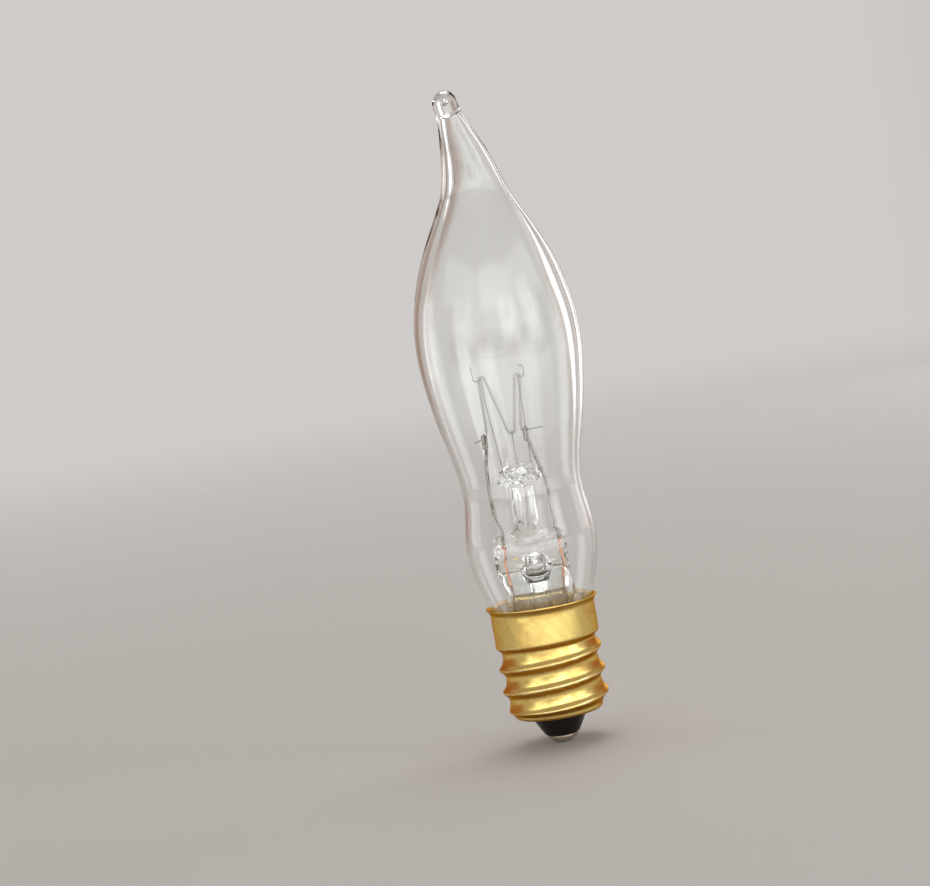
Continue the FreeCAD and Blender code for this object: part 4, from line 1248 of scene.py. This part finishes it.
def make_lights():
    """Window-like panels at the right, a weaker one at the left and one overhead; softboxes in
    front that are only mirrored, and one above them that is only seen through glass; strips behind
    the edges of the glass; dim warm flags that the sides of the brass mirror; and a pale card on
    the floor in front."""
    panel("window_near", 20, 13, 0.50, (0.29, 0.32), 2.6, mottle=0.5)
    panel("window_far", 57, 12, 0.50, (0.26, 0.34), 3.0, mottle=0.4)
    panel("panel_left", -47, 14, 0.50, (0.32, 0.34), 1.6, mottle=0.4)
    panel("overhead", 160, 72, 0.60, (0.46, 0.40), 3.4)
    for side, turn, radiance in (("left", -50, 2.0), ("middle", 8, 2.8), ("right", 60, 2.2)):
        softbox = panel("softbox_" + side, turn, 30, 0.50, (0.60, 0.24), radiance)
        softbox.visible_transmission = softbox.visible_diffuse = False
    softbox = panel("softbox_top", 6, 66, 0.50, (0.30, 0.22), 14.0)
    softbox.visible_glossy = softbox.visible_diffuse = False
    panel("rim_strip", 157, 6, 0.42, (0.10, 0.40), 1.8, surfaces=1.0)
    for side, turn in (("left", -1), ("right", 1)):
        strip = panel("edge_strip_" + side, turn * 118, 4, 0.45, (0.30, 0.40), 1.9, surfaces=5.0)
        strip.visible_glossy = False
        flag = panel("flag_" + side, turn * 129.8, 4, 0.48, (0.86, 0.50), 0.32, colour=WARM)
        flag.visible_transmission = flag.visible_diffuse = False
    place = around(0.05, 0.26, 0.0005)
    soft_card("floor_card", place, (place[0], place[1], 1.0), (0.80, 0.50), 2.0, mottle=0.3)


def make_camera(scene):
    """Camera at the photograph's viewing angle, rolled as the lamp leans in it."""
    camera = bpy.data.cameras.new("camera")
    camera.sensor_width = 36.0
    camera.lens = camera.sensor_width * FOCAL_PIXELS / PICTURE_WIDTH
    camera.clip_start, camera.clip_end = 0.01, 20
    holder = bpy.data.objects.new("camera", camera)
    bpy.context.scene.collection.objects.link(holder)
    back = CAMERA_BACK * math.cos(CAMERA_LIFT) + np.array([0, 0, math.sin(CAMERA_LIFT)])
    up = np.cross(back, CAMERA_RIGHT)
    target = np.array([0, 0, AIM_HEIGHT]) - CAMERA_RIGHT * AIM_LEFT
    right = CAMERA_RIGHT * math.cos(CAMERA_ROLL) - up * math.sin(CAMERA_ROLL)
    up = CAMERA_RIGHT * math.sin(CAMERA_ROLL) + up * math.cos(CAMERA_ROLL)
    holder.rotation_euler = Matrix((right, up, back)).transposed().to_euler()
    holder.location = tuple(target + back * CAMERA_DISTANCE)
    scene.camera = holder


OPERATORS = [LAMP_OT_envelope, LAMP_OT_stem, LAMP_OT_leads, LAMP_OT_supports, LAMP_OT_filament,
             LAMP_OT_cap, LAMP_OT_contact, LAMP_OT_stage]


class LAMP_PT_panel(bpy.types.Panel):
    """Sizes, colours and build steps of the lamp"""
    bl_label = "Candelabra lamp"
    bl_idname = "LAMP_PT_panel"
    bl_space_type = "VIEW_3D"
    bl_region_type = "UI"
    bl_category = "Lamp"

    def draw(self, context):
        for group in (context.scene.lamp_sizes, context.scene.lamp_look):
            for key in type(group).__annotations__:
                self.layout.prop(group, key)
        for operator in OPERATORS:
            self.layout.operator(operator.bl_idname)


CLASSES = [LampSizes, LampLook] + OPERATORS + [LAMP_PT_panel]


def register():
    for item in CLASSES:
        bpy.utils.register_class(item)
    bpy.types.Scene.lamp_sizes = bpy.props.PointerProperty(type=LampSizes)
    bpy.types.Scene.lamp_look = bpy.props.PointerProperty(type=LampLook)


def unregister():
    del bpy.types.Scene.lamp_look
    del bpy.types.Scene.lamp_sizes
    for item in reversed(CLASSES):
        bpy.utils.unregister_class(item)


def main():
    register()
    for step in ("envelope", "stem", "leads", "supports", "filament", "cap", "contact", "stage"):
        getattr(bpy.ops.lamp, step)()


if __name__ == "__main__":
    main()
